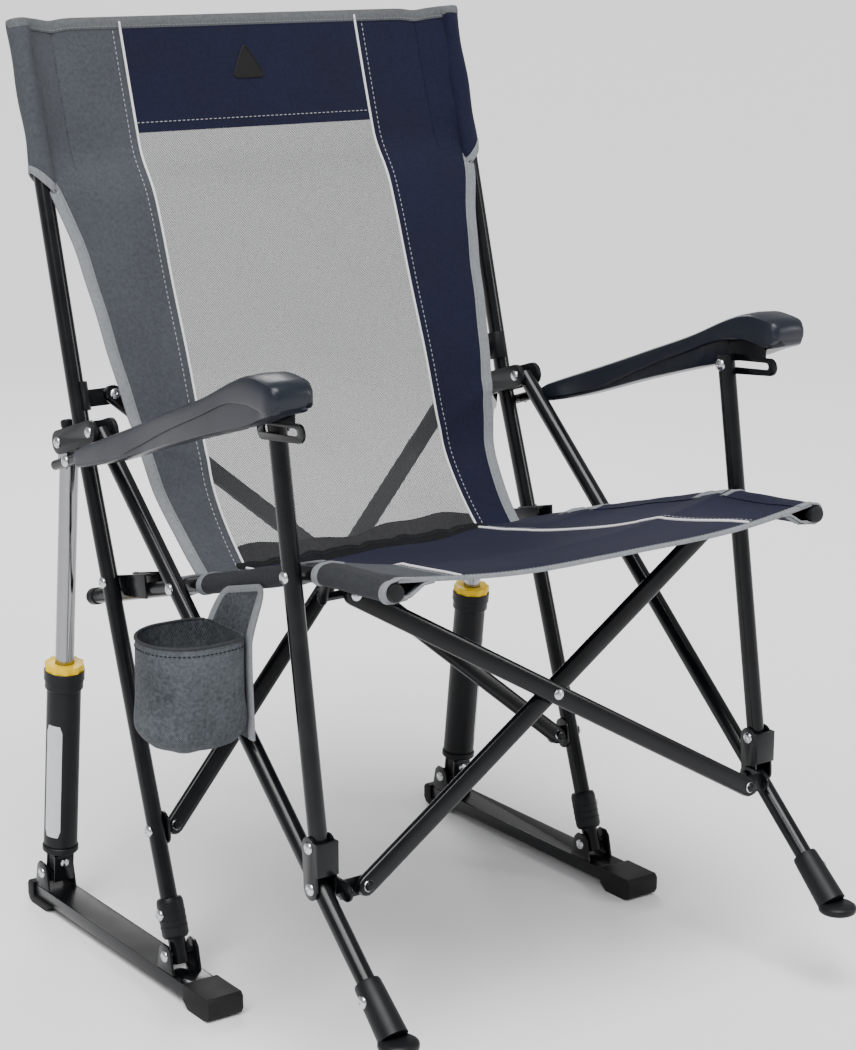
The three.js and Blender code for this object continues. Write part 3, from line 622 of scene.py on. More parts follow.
def on_cloth(surface, facing, share, t, lift):
    """A point lifted off the cloth's visible face, and the normal there."""
    across = Vector(surface(share + 0.01, t)) - Vector(surface(share - 0.01, t))
    along = Vector(surface(share, t + 1)) - Vector(surface(share, t - 1))
    normal = across.cross(along).normalized()
    if normal.dot(Vector(facing)) < 0:
        normal.negate()
    return P(*(Vector(surface(share, t)) + normal * lift)), normal


# ---- steel tubes


def make_tubes(side, sign):
    x, rail_x = sign * FRAME_X, sign * SEAT_RAIL_X
    soft = 8
    heights = [UPRIGHT_BOTTOM, BEND_Z - soft, BEND_Z + soft, UPRIGHT_TOP]
    ends = (POST_BASE[1] - 9, POST_TOP[1] + 11)
    bend = SEAT_BEND[0]
    route = []
    for y in (SEAT_REAR_Y, bend + 22, bend + soft, bend - soft, bend - 22, SEAT_FRONT[0]):
        cut_corner = 1.1 if abs(y - bend) < 10 else 0
        route.append(P(rail_x, y, seat_z(y) - cut_corner))
    for node, points, radius, body in (
        ("upright", [P(x, upright_y(z), z) for z in heights], TUBE_R, "frame"),
        ("front_leg", [P(x, leg_y(112), 112), P(x, *BLOCK_FRONT)], TUBE_R, "frame"),
        ("arm_post", [P(x, post_y(z), z) for z in ends], TUBE_R, "frame"),
        ("seat_rail", route, SEAT_RAIL_R, "seat_rail"),
    ):
        bm = bmesh.new()
        tube(bm, points, radius)
        add_object(f"{side}_{node}_tube", bm, STEEL, f"{side}_{body}", [f"{side}_{node}"])

    bm = bmesh.new()
    rear = P(rail_x, SEAT_REAR_Y, seat_z(SEAT_REAR_Y))
    turned(bm, [(-2.5, 5), (-1.6, 8), (0, 9.6), (2, 10.2), (14, 10.2), (14.5, 9.4)], rear,
           P(rail_x, 0, seat_z(0)))
    front = P(rail_x, SEAT_FRONT[0], SEAT_FRONT[1])
    turned(bm, [(-2.6, 6), (-2, 8.4), (0, 9.4), (9, 9.4), (9.4, 9)], front, P(rail_x, -300, seat_z(-300)))
    add_object(f"{side}_seat_rail_caps", bm, PLASTIC, f"{side}_seat_rail")

    bm = bmesh.new()
    bar, slope = 324.4 * sign, 0.3236
    base = (upright_y(588), 588)
    tube(bm, [P(bar, y, base[1] - slope * (y - base[0])) for y in (215, 62)], 6)
    tube(bm, [P(sign * 312.2, *base), P(bar, *base)], 5, 24, 0.2)
    add_object(f"{side}_armrest_bar_tube", bm, STEEL, f"{side}_frame", [f"{side}_armrest_bar"])


def make_rivets(side, sign):
    """Bright rivet heads, which cover the plain heads of the CAD model."""
    outward = Vector((sign, 0, 0))
    groups = {
        "frame": [
            (312, (upright_y(452), 452), 1), (312, (upright_y(179), 179), 1),
            (312, (leg_y(479), 479), 1), (312, (post_y(544), 544), 1),
            (292, POST_TOP, -1), (318, BLOCK_FRONT, 1), (318, BLOCK_REAR, 1),
            (286, BLOCK_FRONT, -1), (286, BLOCK_REAR, -1),
            (315.1, LINK_PIVOT, 1), (315.1, POST_BASE, 1), (288.9, POST_BASE, -1),
            (317.5, (upright_y(88), 88), 1), (317, (leg_y(136), 136), 1),
            (330.4, (upright_y(588), 588), 1),
            (INNER_RIVET_X, HANGER_PIVOT, -1), (INNER_RIVET_X, (upright_y(452), 452), -1),
        ],
        "base": [(321, ROCK_PIVOT, 1), (321, PISTON_PIVOT, 1),
                 (283, ROCK_PIVOT, -1), (283, PISTON_PIVOT, -1)],
        "seat_rail": [(INNER_RIVET_X, SEAT_RAIL_RIVET, -1)],
    }
    for part, heads in groups.items():
        bm = bmesh.new()
        for x, yz, way in heads:
            dome(bm, P(sign * x, *yz) - outward * way * 0.0004, outward * way, 6.9, 3.9)
        add_object(f"{side}_{part}_rivets", bm, RIVET, f"{side}_{part}")
    bm = bmesh.new()
    up = (P(0, *piston(20, -11)) - P(0, *piston(20, 11))).normalized()
    for d in (-11.6, 11.6):
        dome(bm, P(sign * FRAME_X, *piston(20, d)), up * (1 if d < 0 else -1), 5.6, 3.2)
    add_object(f"{side}_strut_rivets", bm, RIVET, f"{side}_piston")


# ---- strut


def make_strut(side, sign):
    x = sign * FRAME_X
    low, high = P(x, *piston(0)), P(x, *piston(1))
    body, rod = f"{side}_piston", f"{side}_piston_rod"
    cylinder = [(43, 19.6), (44, 20.5), (249, 20.5), (250, 22.2), (251, 23), (261, 23), (261.6, 24.3),
                (273.4, 24.3), (274, 23.8), (274, 23.55), (262.2, 23.55), (262, 17.6), (46, 17.6)]
    collar = [(33, 17.5), (34, 20.5), (35.2, 22), (40, 22), (41.4, 21.4), (42.5, 19.5)]
    shaft = [(150, 16.6), (150.8, 17), (157, 17), (158, 11.2), (538, 11.2), (540, 9.4)]
    turned_piece(f"{side}_cylinder_body", [cylinder], low, high, 56, PLASTIC, body,
                 [f"{side}_piston_cylinder"])
    turned_piece(f"{side}_collar_body", [collar], low, high, 48, PLASTIC, body)
    refined(f"{side}_piston_lug", STEEL, 0.6)
    refined(f"{side}_piston_base", PLASTIC, 0.5)
    refined(f"{side}_cylinder_ring", YELLOW, 0.5, 0.5)
    turned_piece(f"{side}_rod_shaft", [shaft], low, high, 48, CHROME, rod)
    refined(rod, CHROME, 0.5)

    bottom, top, label_r = 58, 206, 20.8
    middle = math.radians(-150 if sign < 0 else -30)
    turn = Vector((0, 0, 1)).rotation_difference((high - low).normalized())
    rows = []
    for h in spaced(bottom, top, 18):
        end = min(h - bottom, top - h)
        half = math.radians(30) * (1 if end > 8 else 0.72 + 0.28 * end / 8)
        rows.append([P(x, *piston(h)) + turn @ Vector((math.cos(a), math.sin(a), 0)) * (label_r / 1000)
                     for a in spaced(middle - half, middle + half, 13)])
    bm = bmesh.new()
    bm.loops.layers.uv.verify()
    loft(bm, rows, closed=False)
    add_object(f"{side}_strut_label", thick_mesh(bm, 0.3), LABEL, body)


def make_spring(side):
    """The coil spring with eased edges, on its own copy of its mesh."""
    coil = refined(f"{side}_rocker_spring", SPRING, 0.3)
    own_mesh(coil)


# ---- feet and sockets


def make_feet(side, sign):
    x = sign * FRAME_X
    sole = 98
    bm = bmesh.new()
    centre = P(x, leg_y(sole), sole)
    turned(bm, [(0, 19.4), (0.8, 20.6), (2.4, 21.5), (6, 21.5), (7.6, 20.8), (10, 17.2)], centre,
           centre + Vector((0, 0, 1)), 48)
    turned(bm, [(0, 16.5), (10, 16.2), (50, 15), (61, 14.5), (63.4, 13.6), (64, 10.4)],
           P(x, leg_y(106), 106), P(x, leg_y(154), 154), 40)
    add_object(f"{side}_foot_boot", bm, PLASTIC, f"{side}_frame", [f"{side}_front_foot"])

    low, high = P(x, upright_y(61), 61), P(x, upright_y(106), 106)
    sleeve = [(0, 10.4), (0, 13), (1.2, 14), (4, 15.5), (40, 15.5), (43, 15.1), (46, 13.6), (46.6, 10.4)]
    ribs = [[(h, 15.4), (h + 0.5, 15.9), (h + 2.1, 15.9), (h + 2.6, 15.4)] for h in (12, 20, 28)]
    turned_piece(f"{side}_socket_sleeve", [sleeve] + ribs, low, high, 40, PLASTIC, f"{side}_frame",
                 [f"{side}_leg_socket"])


# ---- armrest

ARM_TOP = blendable([(-310, 741), (-308, 746.5), (-303, 751), (-294, 754), (-262, 756), (-228, 746),
                     (-164, 718), (-81, 688), (8, 656), (119, 616), (126, 611)])
ARM_BOTTOM = blendable([(-310, 729), (-308, 725), (-302, 722), (-284, 716), (-253, 704), (-184, 684),
                        (-70, 650), (54, 610), (119, 594), (126, 597)])
ARM_CREASE = blendable([(-310, 10), (-300, 29), (-280, 32), (-250, 28), (-215, 21), (-160, 19),
                        (-90, 20.5), (-20, 25), (40, 29), (126, 32)])


def arm_edges(y):
    """The armrest's inner and outer faces: full width at the front, narrow at the rear."""
    share = clamp((y + 170) / 178)
    taper = share * share * (3 - 2 * share)
    front = clamp((-292 - y) / 18)
    pinch = 8 * (1 - math.sqrt(1 - front * front))
    return 302 + 11.5 * taper + pinch, 354 - 7 * taper - pinch


def make_armrest(side, sign):
    """The pad overhangs its flank; the flank is set in below a curved crease."""
    stations = [-310, -309.4, -308.2, -306.5, -304, -301, -297] + spaced(-293, 118, 70) + [121, 124, 126]
    rings = []
    for y in stations:
        top, bottom = ARM_TOP(y), ARM_BOTTOM(y)
        inner, outer = arm_edges(y)
        depth = top - bottom
        crease = top - min(ARM_CREASE(y), depth - 3.5)
        shown = clamp((depth - ARM_CREASE(y)) / 8)
        pocket = clamp((-188 - y) / 18)
        skirt = inner + (3.0 + 13.0 * pocket) * shown
        inset = 3.0 * shown
        lip = 2.4 * shown + 0.6
        e = min(7.0, 0.34 * depth)
        outline = [
            (inner + 1.6, crease), (inner, crease + 1.6), (inner, top - e), (inner + 0.3 * e, top - 0.3 * e),
            (inner + e, top), ((inner + outer) / 2, top + 1.0), (outer - e, top),
            (outer - 0.3 * e, top - 0.3 * e), (outer, top - e), (outer, crease + lip),
            (outer - 0.35 * lip, crease + 0.25 * lip), (outer - inset, crease),
            (outer - inset, bottom + 2.4), (outer - inset - 0.8, bottom + 0.7), (outer - inset - 3, bottom),
            (skirt + 3, bottom), (skirt + 0.8, bottom + 0.8), (skirt, bottom + 2.4), (skirt, crease - 0.3),
        ]
        rings.append([P(sign * px, y, pz) for px, pz in outline])
    bm = bmesh.new()
    loft(bm, rings)
    add_object(f"{side}_armrest_shell", bm, SLATE, f"{side}_frame", [f"{side}_armrest"])


# ---- bars of the front and rear X


def bar_section(half, thick):
    """The bar's flat-oval outline: [across, normal] pairs."""
    section = []
    for i in range(28):
        c, s = math.cos(2 * math.pi * i / 28), math.sin(2 * math.pi * i / 28)
        section.append((math.copysign(abs(c) ** 0.55, c) * half, math.copysign(abs(s) ** 0.62, s) * thick))
    return section


def make_bars():
    thick = BAR_THICK / 2
    section = bar_section(11.0, thick)
    for end, cross in (("front", FRONT_X), ("rear", REAR_X)):
        up = (P(0, *cross["upper"]) - P(0, *cross["lower"])).normalized()
        normal = Vector((0, -up.z, up.y))
        for letter, way in (("a", 1), ("b", -1)):
            node = f"{end}_brace_{letter}"
            offset = normal * way * BAR_OFFSET / 1000
            lower = P(way * cross["lower_x"], *cross["lower"]) + offset
            upper = P(-way * cross["upper_x"], *cross["upper"]) + offset
            direction = (upper - lower).normalized()
            across = normal.cross(direction)
            length = (upper - lower).length * 1000
            stations = [(-11, 0.25), (-10.2, 0.45), (-8, 0.7), (-5, 0.9), (0, 1)]
            stations += [(length - h, width) for h, width in reversed(stations)]
            rings = []
            for h, width in stations:
                squeeze = 1 if width > 0.8 else 0.92
                centre = lower + direction * (h / 1000)
                rings.append([centre + across * (a * width / 1000) + normal * (b * squeeze / 1000)
                              for a, b in section])
            bm = bmesh.new()
            loft(bm, rings)
            add_object(f"{node}_bar", bm, STEEL, node, [node])
            bm = bmesh.new()
            for point in (lower, upper):
                for face in (1, -1):
                    dome(bm, point + normal * face * (thick - 0.3) / 1000, normal * face, 6.4, 3.0)
            add_object(f"{node}_end_rivets", bm, RIVET, node)
        share = cross["lower_x"] / (cross["lower_x"] + cross["upper_x"])
        y, z = (cross["lower"][i] + share * (cross["upper"][i] - cross["lower"][i]) for i in (0, 1))
        bm = bmesh.new()
        dome(bm, P(0, y, z) + normal * (BAR_OFFSET + thick - 0.4) / 1000, normal, 6.6, 3.4)
        add_object(f"{end}_centre_rivet", bm, RIVET, f"{end}_brace_a", [f"{end}_brace_rivet"])


# ---- back fabric

BACK_LOW, BACK_TOP = 449, 1072
SLEEVE_LOW = 900
PIPE_X = 166
POCKET_SEAM_X = 257
BAND_Z = 943
EDGE = blendable([(449, 226), (509, 234), (590, 249), (676, 263), (767, 274), (815, 281), (850, 289),
                  (884, 298), (SLEEVE_LOW, 302), (1080, 302)])
HEAD_BACK = blendable([(449, 0), (665, 1), (777, 6), (850, 9), (881, 13), (912, 25), (930, 28), (1080, 27)])


def bell(distance, width):
    return math.exp(-(distance / width) ** 2)


def back_y(z):
    """The cloth's mid surface: behind the tubes' axes in the head part, then nearly straight."""
    return 108.4 + 0.322 * (z - 481) + HEAD_BACK(z)


def back_point(share, z):
    """share runs from -1 at the right edge to 1 at the left edge."""
    x = share * EDGE(z)
    rise = clamp((z - BACK_LOW) / (BACK_TOP - BACK_LOW))
    sag = 5.0 * (1 - share * share) * math.sin(math.pi * rise)
    drape = 1.3 * math.sin(z / 23.0 + 2.1 * math.sin(x / 61.0)) * (1 - share * share) * (1 - rise) ** 1.5
    pull = 1.6 * math.sin(x / 17.0 + z / 90.0) * bell(z - BACK_LOW, 42.0)
    crease = 0.8 * math.sin(z / 12.0 + x / 37.0) * bell(abs(x) - EDGE(z), 40.0)
    foot = 56 * clamp((557 - z) / 108) ** 1.7
    kink = -3.4 * bell(z - 590 - 0.5 * (abs(x) - 200), 9.0) * max(abs(share) - 0.55, 0) * 2
    y = back_y(z) + sag + drape + pull + crease + kink - foot
    if z > SLEEVE_LOW:
        onto = min((z - SLEEVE_LOW) / 60, 1)
        reach = clamp((abs(share) - 0.82) / 0.18)
        front = upright_y(z) - 12.6
        y += (front - y) * reach * reach * (0.35 + 0.65 * onto)
        y += bell(abs(x) - POCKET_SEAM_X, 5.0) * onto * (1.3 + 0.7 * math.sin(z / 3.1))
    return x, y, z


def on_back(share, z, lift):
    return on_cloth(back_point, (0, -1, 0), share, z, lift)


def back_row(share, zs, lift):
    """Points on the back's front face; share(z) gives each one's place across it."""
    return [on_back(share(z), z, lift)[0] for z in zs]


def pipe_share(z):
    return PIPE_X / EDGE(z)


def hem_rise(share):
    """The top hem dips at the sleeves' seams and is pulled up over the tubes."""
    x = abs(share) * FRAME_X
    return 3.0 * bell(x - FRAME_X, 20) - 2.6 * bell(x - POCKET_SEAM_X, 14)


def make_patch():
    """A plain three-cornered patch with a raised rim on the head band; it bears no mark."""
    centre_z = 1017
    corners = [(0, 25), (-24, -17), (24, -17)]
    rings = []
    for scale, lift in ((1.0, 0.6), (1.0, 2.0), (0.95, 2.6), (0.86, 2.6), (0.84, 2.0), (0.02, 2.0)):
        ring = []
        for k in range(3):
            (ax, az), (bx, bz) = corners[k], corners[(k + 1) % 3]
            for share in spaced(0.10, 0.90, 9):
                x, z = (ax + (bx - ax) * share) * scale, (az + (bz - az) * share) * scale
                bow = 1 + 0.6 * math.sin(math.pi * share) / math.hypot(x, z)
                ring.append(on_back(x * bow / FRAME_X, centre_z + z * bow, lift)[0])
        rings.append(ring)
    bm = bmesh.new()
    loft(bm, rings)
    add_object("head_band_patch", bm, RUBBER, BACK)


def make_back_panels():
    def strip(name, low, high, zs, thickness, finish):
        """A panel between two lines, each given as a share of the half width at a height."""
        return grid_sheet(name, lambda u, z: back_point(low(z) + (high(z) - low(z)) * u, z),
                          spaced(0, 1, 34), zs, thickness, finish, BACK)

    heights = spaced(BACK_LOW, BACK_TOP, 104)
    mesh_heights = [z for z in heights if z <= BAND_Z + 6]
    net = strip("back_mesh", lambda z: -pipe_share(z), pipe_share, mesh_heights, 0.45, NET)
    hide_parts("back_panel")
    head = strip("back_head_band", lambda z: -pipe_share(z), pipe_share, spaced(BAND_Z, BACK_TOP, 24), 2.4,
                 NAVY)
    right = strip("back_right_panel", lambda z: -1.0, lambda z: -pipe_share(z), heights, 1.6, GREY)
    left = strip("back_left_panel", pipe_share, lambda z: 1.0, heights, 1.6, NAVY)


def make_back_seams(side, sign):
    zs = spaced(BACK_LOW + 4, BACK_TOP - 2, 90)
    cord_line(f"back_{side}_piping", back_row(lambda z: sign * pipe_share(z), zs, 1.6), 1.5, PIPING, BACK)
    seam = back_row(lambda z: sign * (PIPE_X + 10) / EDGE(z), zs, 1.1)
    stitches(f"back_{side}_stitching", seam, THREAD, BACK)
    seam = back_row(lambda z: sign * POCKET_SEAM_X / FRAME_X, spaced(906, BACK_TOP - 12, 40), 1.5)
    stitches(f"back_{side}_sleeve_seam", seam, SIDE_CLOTH[side], BACK, 5, 3.4, 0.5)
    edge_z = spaced(BACK_LOW, SLEEVE_LOW + 8, 60)
    edge = [on_back(sign * (1 - 5 / EDGE(z)), z, 0.0) for z in edge_z]
    band(f"back_{side}_binding", edge, 15, 3.4, TRIM, BACK)
    for k, lift in enumerate((2.1, -2.1)):
        seam = back_row(lambda z: sign * (1 - 9.5 / EDGE(z)), edge_z, lift)
        stitches(f"back_{side}_binding_stitches_{k}", seam, TRIM, BACK, 5, 3.4, 0.4)


def make_back_hems():
    low = [on_back(s, BAND_Z + 11, 1.6)[0] for s in spaced(-0.545, 0.545, 50)]
    stitches("head_band_stitching", low, THREAD, BACK)
    shares = spaced(-0.985, 0.985, 80)
    band("back_top_hem", [on_back(s, BACK_TOP - 3 + hem_rise(s), 0) for s in shares], 15, 4.6, HEM, BACK)
    seam = [on_back(s, BACK_TOP - 7.6 + hem_rise(s), 2.7)[0] for s in shares]
    stitches("back_top_hem_stitching", seam, TRIM, BACK, 5, 3.4, 0.45)


def sleeve_cut(angle):
    """The pocket's lower end is cut at a slant: higher on the tube's outer side."""
    return 14 * math.cos(angle)


def make_back_sleeve(side, sign):
    """The pocket of cloth round the upright's top, open at its lower end and closed at the top."""
    body = f"{side}_frame"
    angles = [2 * math.pi * i / 36 for i in range(36)]
    top = UPRIGHT_TOP + 6
    heights = spaced(SLEEVE_LOW - 6, top, 40)
    rings = []
    for z in heights:
        tuck = 1 + 0.06 * math.sin(z / 14.0)
        ring = []
        for angle in angles:
            r = (12.4 + 0.7 * math.sin(3 * angle + z / 33.0)) * tuck
            cut = z + sleeve_cut(angle) * max(1 - (z - heights[0]) / 60, 0)
            ring.append(P(sign * (FRAME_X + r * math.cos(angle)), upright_y(cut) + r * math.sin(angle) * 1.04,
                          cut))
        rings.append(ring)
    for share, rise in ((0.8, 2.0), (0.4, 3.0), (0.08, 3.4)):
        r = 12 * share
        level = top + rise
        rings.append([P(sign * (FRAME_X + r * math.cos(angle)), upright_y(top) + r * math.sin(angle), level)
                      for angle in angles])
    bm = bmesh.new()
    bm.loops.layers.uv.verify()
    uv_tube(bm, loft(bm, rings, cap=False), lambda i, j: (i * 0.0022, j * 0.0045))
    add_object(f"back_{side}_sleeve", thick_mesh(bm, 1.4), SIDE_CLOTH[side], body)

    z = BACK_TOP - 6
    hem = [(0, 12.8), (0.6, 13.8), (4, 14.2), (9.4, 14.0), (10.4, 13.2), (11, 11.6)]
    turned_piece(f"back_{side}_sleeve_hem", [hem], P(sign * FRAME_X, upright_y(z), z),
                 P(sign * FRAME_X, upright_y(z + 12), z + 12), 36, HEM, body)
    loop = []
    for angle in spaced(0, 2 * math.pi, 49):
        z = SLEEVE_LOW - 3 + sleeve_cut(angle)
        loop.append((P(sign * (FRAME_X + 13.5 * math.cos(angle)), upright_y(z) + 14 * math.sin(angle), z),
                     Vector((sign * math.cos(angle), math.sin(angle), 0))))
    band(f"back_{side}_sleeve_binding", loop, 9, 2.4, TRIM, body)


# ---- seat fabric

SEAT_BACK_Y, SEAT_FRONT_Y = 62, -408
CUTS = {"leg": (-25, 20), "post": (-259, 20)}
SLEEVES = [(-408, -277), (-241, -45), (-5, 14)]
SEAT_PIPE = blendable([(-408, 194), (-385, 190), (-340, 182), (-290, 176), (-200, 171), (60, 166),
                       (100, 162)])


def seat_inner(y):
    """The half width of the flat part: it steps in where a tube passes the rail."""
    width = 276.0
    for centre, half in CUTS.values():
        near = abs(y - centre) / half
        if near < 1.25:
            ease = clamp((1.25 - near) / 0.5)
            width -= 5 * ease * ease * (3 - 2 * ease)
    if y > 14:
        width -= 30 * min((y - 14) / 48, 1)
    return width


def seat_point(share, y):
    x = share * seat_inner(y)
    edge = abs(share)
    ahead = clamp((SEAT_BACK_Y - y) / 504)
    sag = (7.2 + 26.0 * math.sin(math.pi * ahead)) * (1 - edge**2.2)
    front = bell(y - SEAT_FRONT_Y, 30.0)
    wave = (1.6 * math.sin(x / 24.0 + 1.3 * math.sin(y / 60.0)) * bell(y - SEAT_BACK_Y, 60.0)
            + 1.4 * math.sin(x / 46.0 + y / 80.0) * front
            + 0.8 * math.sin(y / 19.0 + x / 71.0) * edge**3)
    return x, y, seat_z(y) + 9.6 - sag - 3.0 * front * (1 - edge) + wave


def on_seat(share, y, lift):
    return on_cloth(seat_point, (0, 0, 1), share, y, lift)


def make_seat():
    def pipe(y):
        return SEAT_PIPE(y) / seat_inner(y)

    ys = spaced(SEAT_BACK_Y, SEAT_FRONT_Y, 110)
    for name, low, high, finish, count in (
        ("seat_centre", lambda y: -pipe(y), pipe, NAVY, 52),
        ("seat_right_panel", lambda y: -1.0, lambda y: -pipe(y), GREY, 24),
        ("seat_left_panel", pipe, lambda y: 1.0, NAVY, 24),
    ):
        grid_sheet(name, lambda u, y: seat_point(low(y) + (high(y) - low(y)) * u, y),
                               spaced(0, 1, count), ys, 1.6, finish, SEAT)
    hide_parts("seat_panel")

    for side, sign in SIDES.items():
        line = [on_seat(sign * pipe(y), y, 1.4)[0] for y in spaced(SEAT_BACK_Y - 6, -398, 120)]
        cord_line(f"seat_{side}_piping", line, 1.7, PIPING, SEAT)
        seam = [on_seat(sign * (pipe(y) + 10 / seat_inner(y)), y, 1.1)[0] for y in spaced(58, -398, 90)]
        stitches(f"seat_{side}_stitching", seam, THREAD, SEAT)
        for centre, half in CUTS.values():
            zone = spaced(centre - half * 1.3, centre + half * 1.3, 30)
            edge = [on_seat(sign * (1 - 3 / seat_inner(y)), y, 0) for y in zone]
            band(f"seat_{side}_cut_binding_{abs(centre)}", edge, 12, 3.2, TRIM, SEAT)

    shares = spaced(-0.995, 0.995, 90)
    band("seat_front_binding", [on_seat(s, SEAT_FRONT_Y + 4, 0) for s in shares], 9, 4.4, TRIM, SEAT)
    seam = [on_seat(s, SEAT_FRONT_Y + 6.6, 2.3)[0] for s in shares]
    stitches("seat_front_stitching", seam, TRIM, SEAT, 5, 3.4, 0.45)


def mesh_hem(u, v):
    """The doubled edge of the mesh, above the dark strip."""
    top = 17 + 3.5 * math.sin(9 * u + 0.8) + 1.5 * math.sin(23 * u)
    x, y, z = back_point(0.725 * (2 * u - 1), BACK_LOW + 14 + top * v)
    return x, y - 1.1, z


def make_junction():
    """The gathered dark strip where the mesh meets the seat."""
    grid_sheet("back_mesh_hem", mesh_hem, spaced(0, 1, 90), spaced(0, 1, 7), 0.5, NET_DOUBLED, BACK)
    centres, normals = [], []
    for s in spaced(-0.80, 0.80, 120):
        gather = 0.8 * math.sin(31 * s) + 0.5 * math.sin(53 * s + 1)
        z = BACK_LOW + 11 + gather
        x, y = back_point(s * 0.97, z)[:2]
        centres.append(P(x, y - 2.4 + 0.4 * gather, z + 1.4))
        normals.append(Vector((0.05 * math.cos(31 * s), -0.78, 0.62)).normalized())
    acrosses = [t.cross(n).normalized() for t, n in zip(along_path(centres), normals)]
    for lift in (-5, 5):
        row = [c + n * 0.0016 + a * (lift / 1000) for c, n, a in zip(centres, normals, acrosses)]
        stitches(f"seat_back_stitching_{lift + 5}", row, RAIL_GREY, BACK, 5, 3.2, 0.5)
    bm = bmesh.new()
    ribbon(bm, centres, acrosses, normals, 19, 2.6)
    add_object("seat_back_gather", bm, DARK, BACK)


def sleeve_section(sign, y):
    """The loop of cloth round the seat rail, and the flap that goes on from it under the seat."""
    centre = SEAT_RAIL_X
    level = seat_z(y)
    r = SEAT_RAIL_R + 1.7

    def resting(inward, lift):
        """A point on the seat's cloth, that far in from the rail."""
        x = centre - inward
        return x, seat_point(min(x / seat_inner(y), 1), y)[2] + lift

    points = [resting(22, 1.2), resting(14, 1.4), resting(7, 1.5)]
    for angle in spaced(95, -88, 22):
        a = math.radians(angle)
        points.append((centre + r * math.cos(a), level + r * math.sin(a)))
    points += [(centre - 9, level - 9.4), (centre - 16, level - 8.8)]
    flap = [(centre - 10, level - 8.4), (centre - 20, level - 7.0), resting(36, -4.0), resting(48, -1.7)]
    return [[(sign * x, y, z) for x, z in part] for part in (points, flap)]


def make_seat_sleeves(side, sign):
    """Each loop stays with its rail; its flap is sewn to the seat and rides with it."""
    finish = {"right": RAIL_GREY, "left": NAVY}[side]
    for k, (a, b) in enumerate(SLEEVES):
        for part, carrier in enumerate((f"{side}_seat_rail", SEAT)):
            name = f"seat_{side}_sleeve_{k}" + ("_flap" if part else "")
            rows = []
            for y in spaced(a, b, max(int(abs(b - a) / 5), 6)):
                wobble = 0.2 * math.sin(y / 9.0)
                rows.append([P(x, py, z + wobble) for x, py, z in sleeve_section(sign, y)[part]])
            bm = bmesh.new()
            uv_sheet(bm, loft(bm, rows, closed=False), lambda i, j: (i * 0.0025, j * 0.005))
            add_object(name, thick_mesh(bm, 1.5), finish, carrier)
            for end, y in (("a", a + 5), ("b", b - 5)):
                loop = [P(*p) for p in sleeve_section(sign, y)[part]]
                acrosses = [Vector((0, 1, SEAT_SLOPE)).normalized()] * len(loop)
                normals = [t.cross(c).normalized() for t, c in zip(along_path(loop), acrosses)]
                bm = bmesh.new()
                ribbon(bm, loop, acrosses, normals, 12, 3.2)
                add_object(f"{name}_binding_{end}", bm, TRIM, carrier)


# ---- drink holder

CUP = {"x": -366.5, "y": -150, "r": 53, "bottom": 350, "rim": 468}
CUP_WALL = 2.2


def cup_point(angle, z, less=0.0):
    """The pocket's wall: round in front, squared against its back panel, gathered at the bottom."""
    share = (z - CUP["bottom"]) / (CUP["rim"] - CUP["bottom"])
    fold = 1.6 * math.sin(5 * angle + 1.2 * share) + 1.2 * math.sin(8 * angle - 2.0 * share)
    crush = 2.2 * math.sin(angle * 2 + 9 * share) * bell(share - 0.22, 0.2)
    gathered = 15 * max(1 - share / 0.20, 0) ** 2
    r = CUP["r"] - 1.2 + (fold + crush) * (1 - share) - gathered
    c, s = math.cos(angle), math.sin(angle)
    if c > 0:
        power = 2 + 3.5 * c
        r *= (abs(c) ** power + abs(s) ** power) ** (-1 / power)
    x = CUP["x"] + min((r - less) * c, CUP["r"] - 1.4 - less)
    return x, CUP["y"] + (r - less) * s


def cup_ring(less, z, tuck=0.0):
    """One ring of the cup's wall or floor, drawn in towards the middle by the tuck."""
    points = []
    for i in range(96):
        x, y = cup_point(2 * math.pi * i / 96, z, less)
        points.append(P(x + (CUP["x"] - x) * tuck, y + (CUP["y"] - y) * tuck, z))
    return points


def holder_flap(u, v):
    """The pocket's back panel: u along y from front to rear, v from the bottom to the seat rail."""
    z = 353 + 152 * v
    half = 45 - 6 * max((v - 0.72) / 0.28, 0) ** 2
    corner = max((v - 0.90) / 0.10, 0)
    half -= 11 * (1 - math.sqrt(max(1 - corner * corner, 0)))
    lean = max((v - 0.66) / 0.34, 0)
    x = -312.6 + 21 * lean**1.4 + 0.9 * math.sin(5 * v + 2 * u)
    y = -148 + half * (1 - 2 * u)
    return x, y, z - 0.26 * (y + 148) * max((v - 0.4) / 0.6, 0)


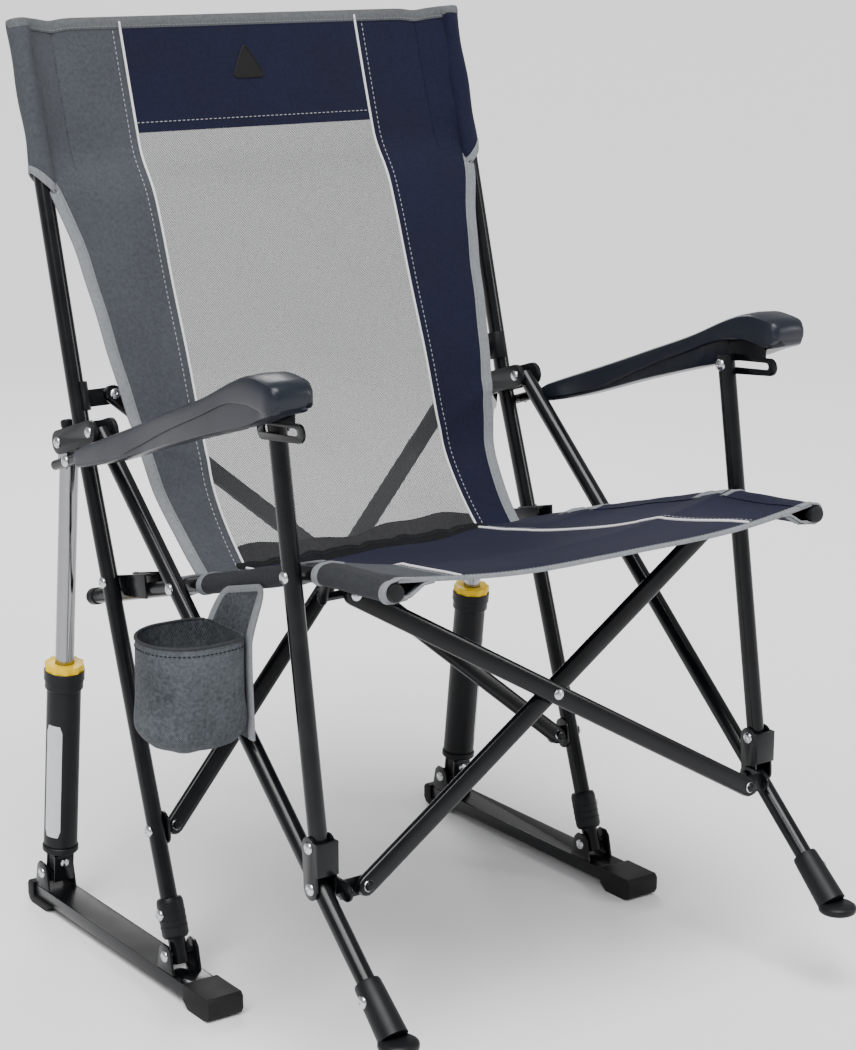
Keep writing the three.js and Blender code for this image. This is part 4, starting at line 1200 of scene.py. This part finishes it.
def make_drink_holder():
    body = "drink_holder"
    base, rim = CUP["bottom"], CUP["rim"]
    floor_out = [cup_ring(0, base + 0.4, tuck) for tuck in (0.97, 0.6, 0.25, 0.06)]
    outer = [cup_ring(0, z) for z in spaced(base + 3, rim, 34)]
    inner = [cup_ring(CUP_WALL, z) for z in spaced(rim, base + 6, 14)]
    floor_in = [cup_ring(CUP_WALL, base + 3.4, tuck) for tuck in (0.06, 0.3, 0.6, 0.97)]
    bm = bmesh.new()
    bm.loops.layers.uv.verify()
    uv_tube(bm, loft(bm, floor_out + outer + inner + floor_in), lambda i, j: (i * 0.0035, j * 0.0040))
    cup = add_object("drink_cup", bm, MOTTLED, body, ["drink_holder"])

    def round_front(z, less):
        return [P(*cup_point(a, z, less), z) for a in spaced(math.radians(40), math.radians(320), 90)]

    cord_line("drink_cup_hem", round_front(rim - 1.2, 0.6), 1.9, RAIL_GREY, body)
    stitches("drink_cup_stitching", round_front(rim - 9.5, -0.3), DARK_THREAD, body, 5, 3.6, 0.6)

    panel = grid_sheet("drink_holder_flap", holder_flap, spaced(0, 1, 24), spaced(0, 1, 46), 1.8, MOTTLED,
                       body)
    climb = spaced(0, 0.90, 34) + [0.93, 0.955, 0.975]
    outline = [holder_flap(0.03, v) for v in climb]
    outline += [holder_flap(u, 0.99) for u in spaced(0.06, 0.94, 18)]
    outline += [holder_flap(0.97, v) for v in reversed(climb)]
    facing = Vector((-1, 0, 0.1)).normalized()
    band("drink_holder_binding", [(P(*p), facing) for p in outline], 11, 4.0, TRIM, body)


# ---- assembly

REFINED = (
    ("ground_rail", STEEL, 1.6),
    ("rail_front_cap", RUBBER, 2.2),
    ("rail_rear_pad", RUBBER, 2.2),
    ("seat_hanger", STEEL, 0.8),
    ("post_bracket", STEEL, 0.7),
    ("upper_block", PLASTIC, 1.2),
    ("armrest_slot_bracket", STEEL, 0.6),
    ("front_brace_link", STEEL, 0.5),
    ("rear_brace_link", STEEL, 0.5),
    ("front_brace_bracket", STEEL, 0.5),
    ("rear_brace_slider", PLASTIC, 0.7),
)

for side, sign in SIDES.items():
    make_tubes(side, sign)
    make_rivets(side, sign)
    make_strut(side, sign)
    make_feet(side, sign)
    make_armrest(side, sign)
    make_back_sleeve(side, sign)
    make_seat_sleeves(side, sign)
    for part, finish, bevel in REFINED:
        refined(f"{side}_{part}", finish, bevel)
    make_spring(side)

make_bars()
make_patch()
make_back_panels()
for side, sign in SIDES.items():
    make_back_seams(side, sign)
make_back_hems()
make_seat()
make_junction()
make_drink_holder()
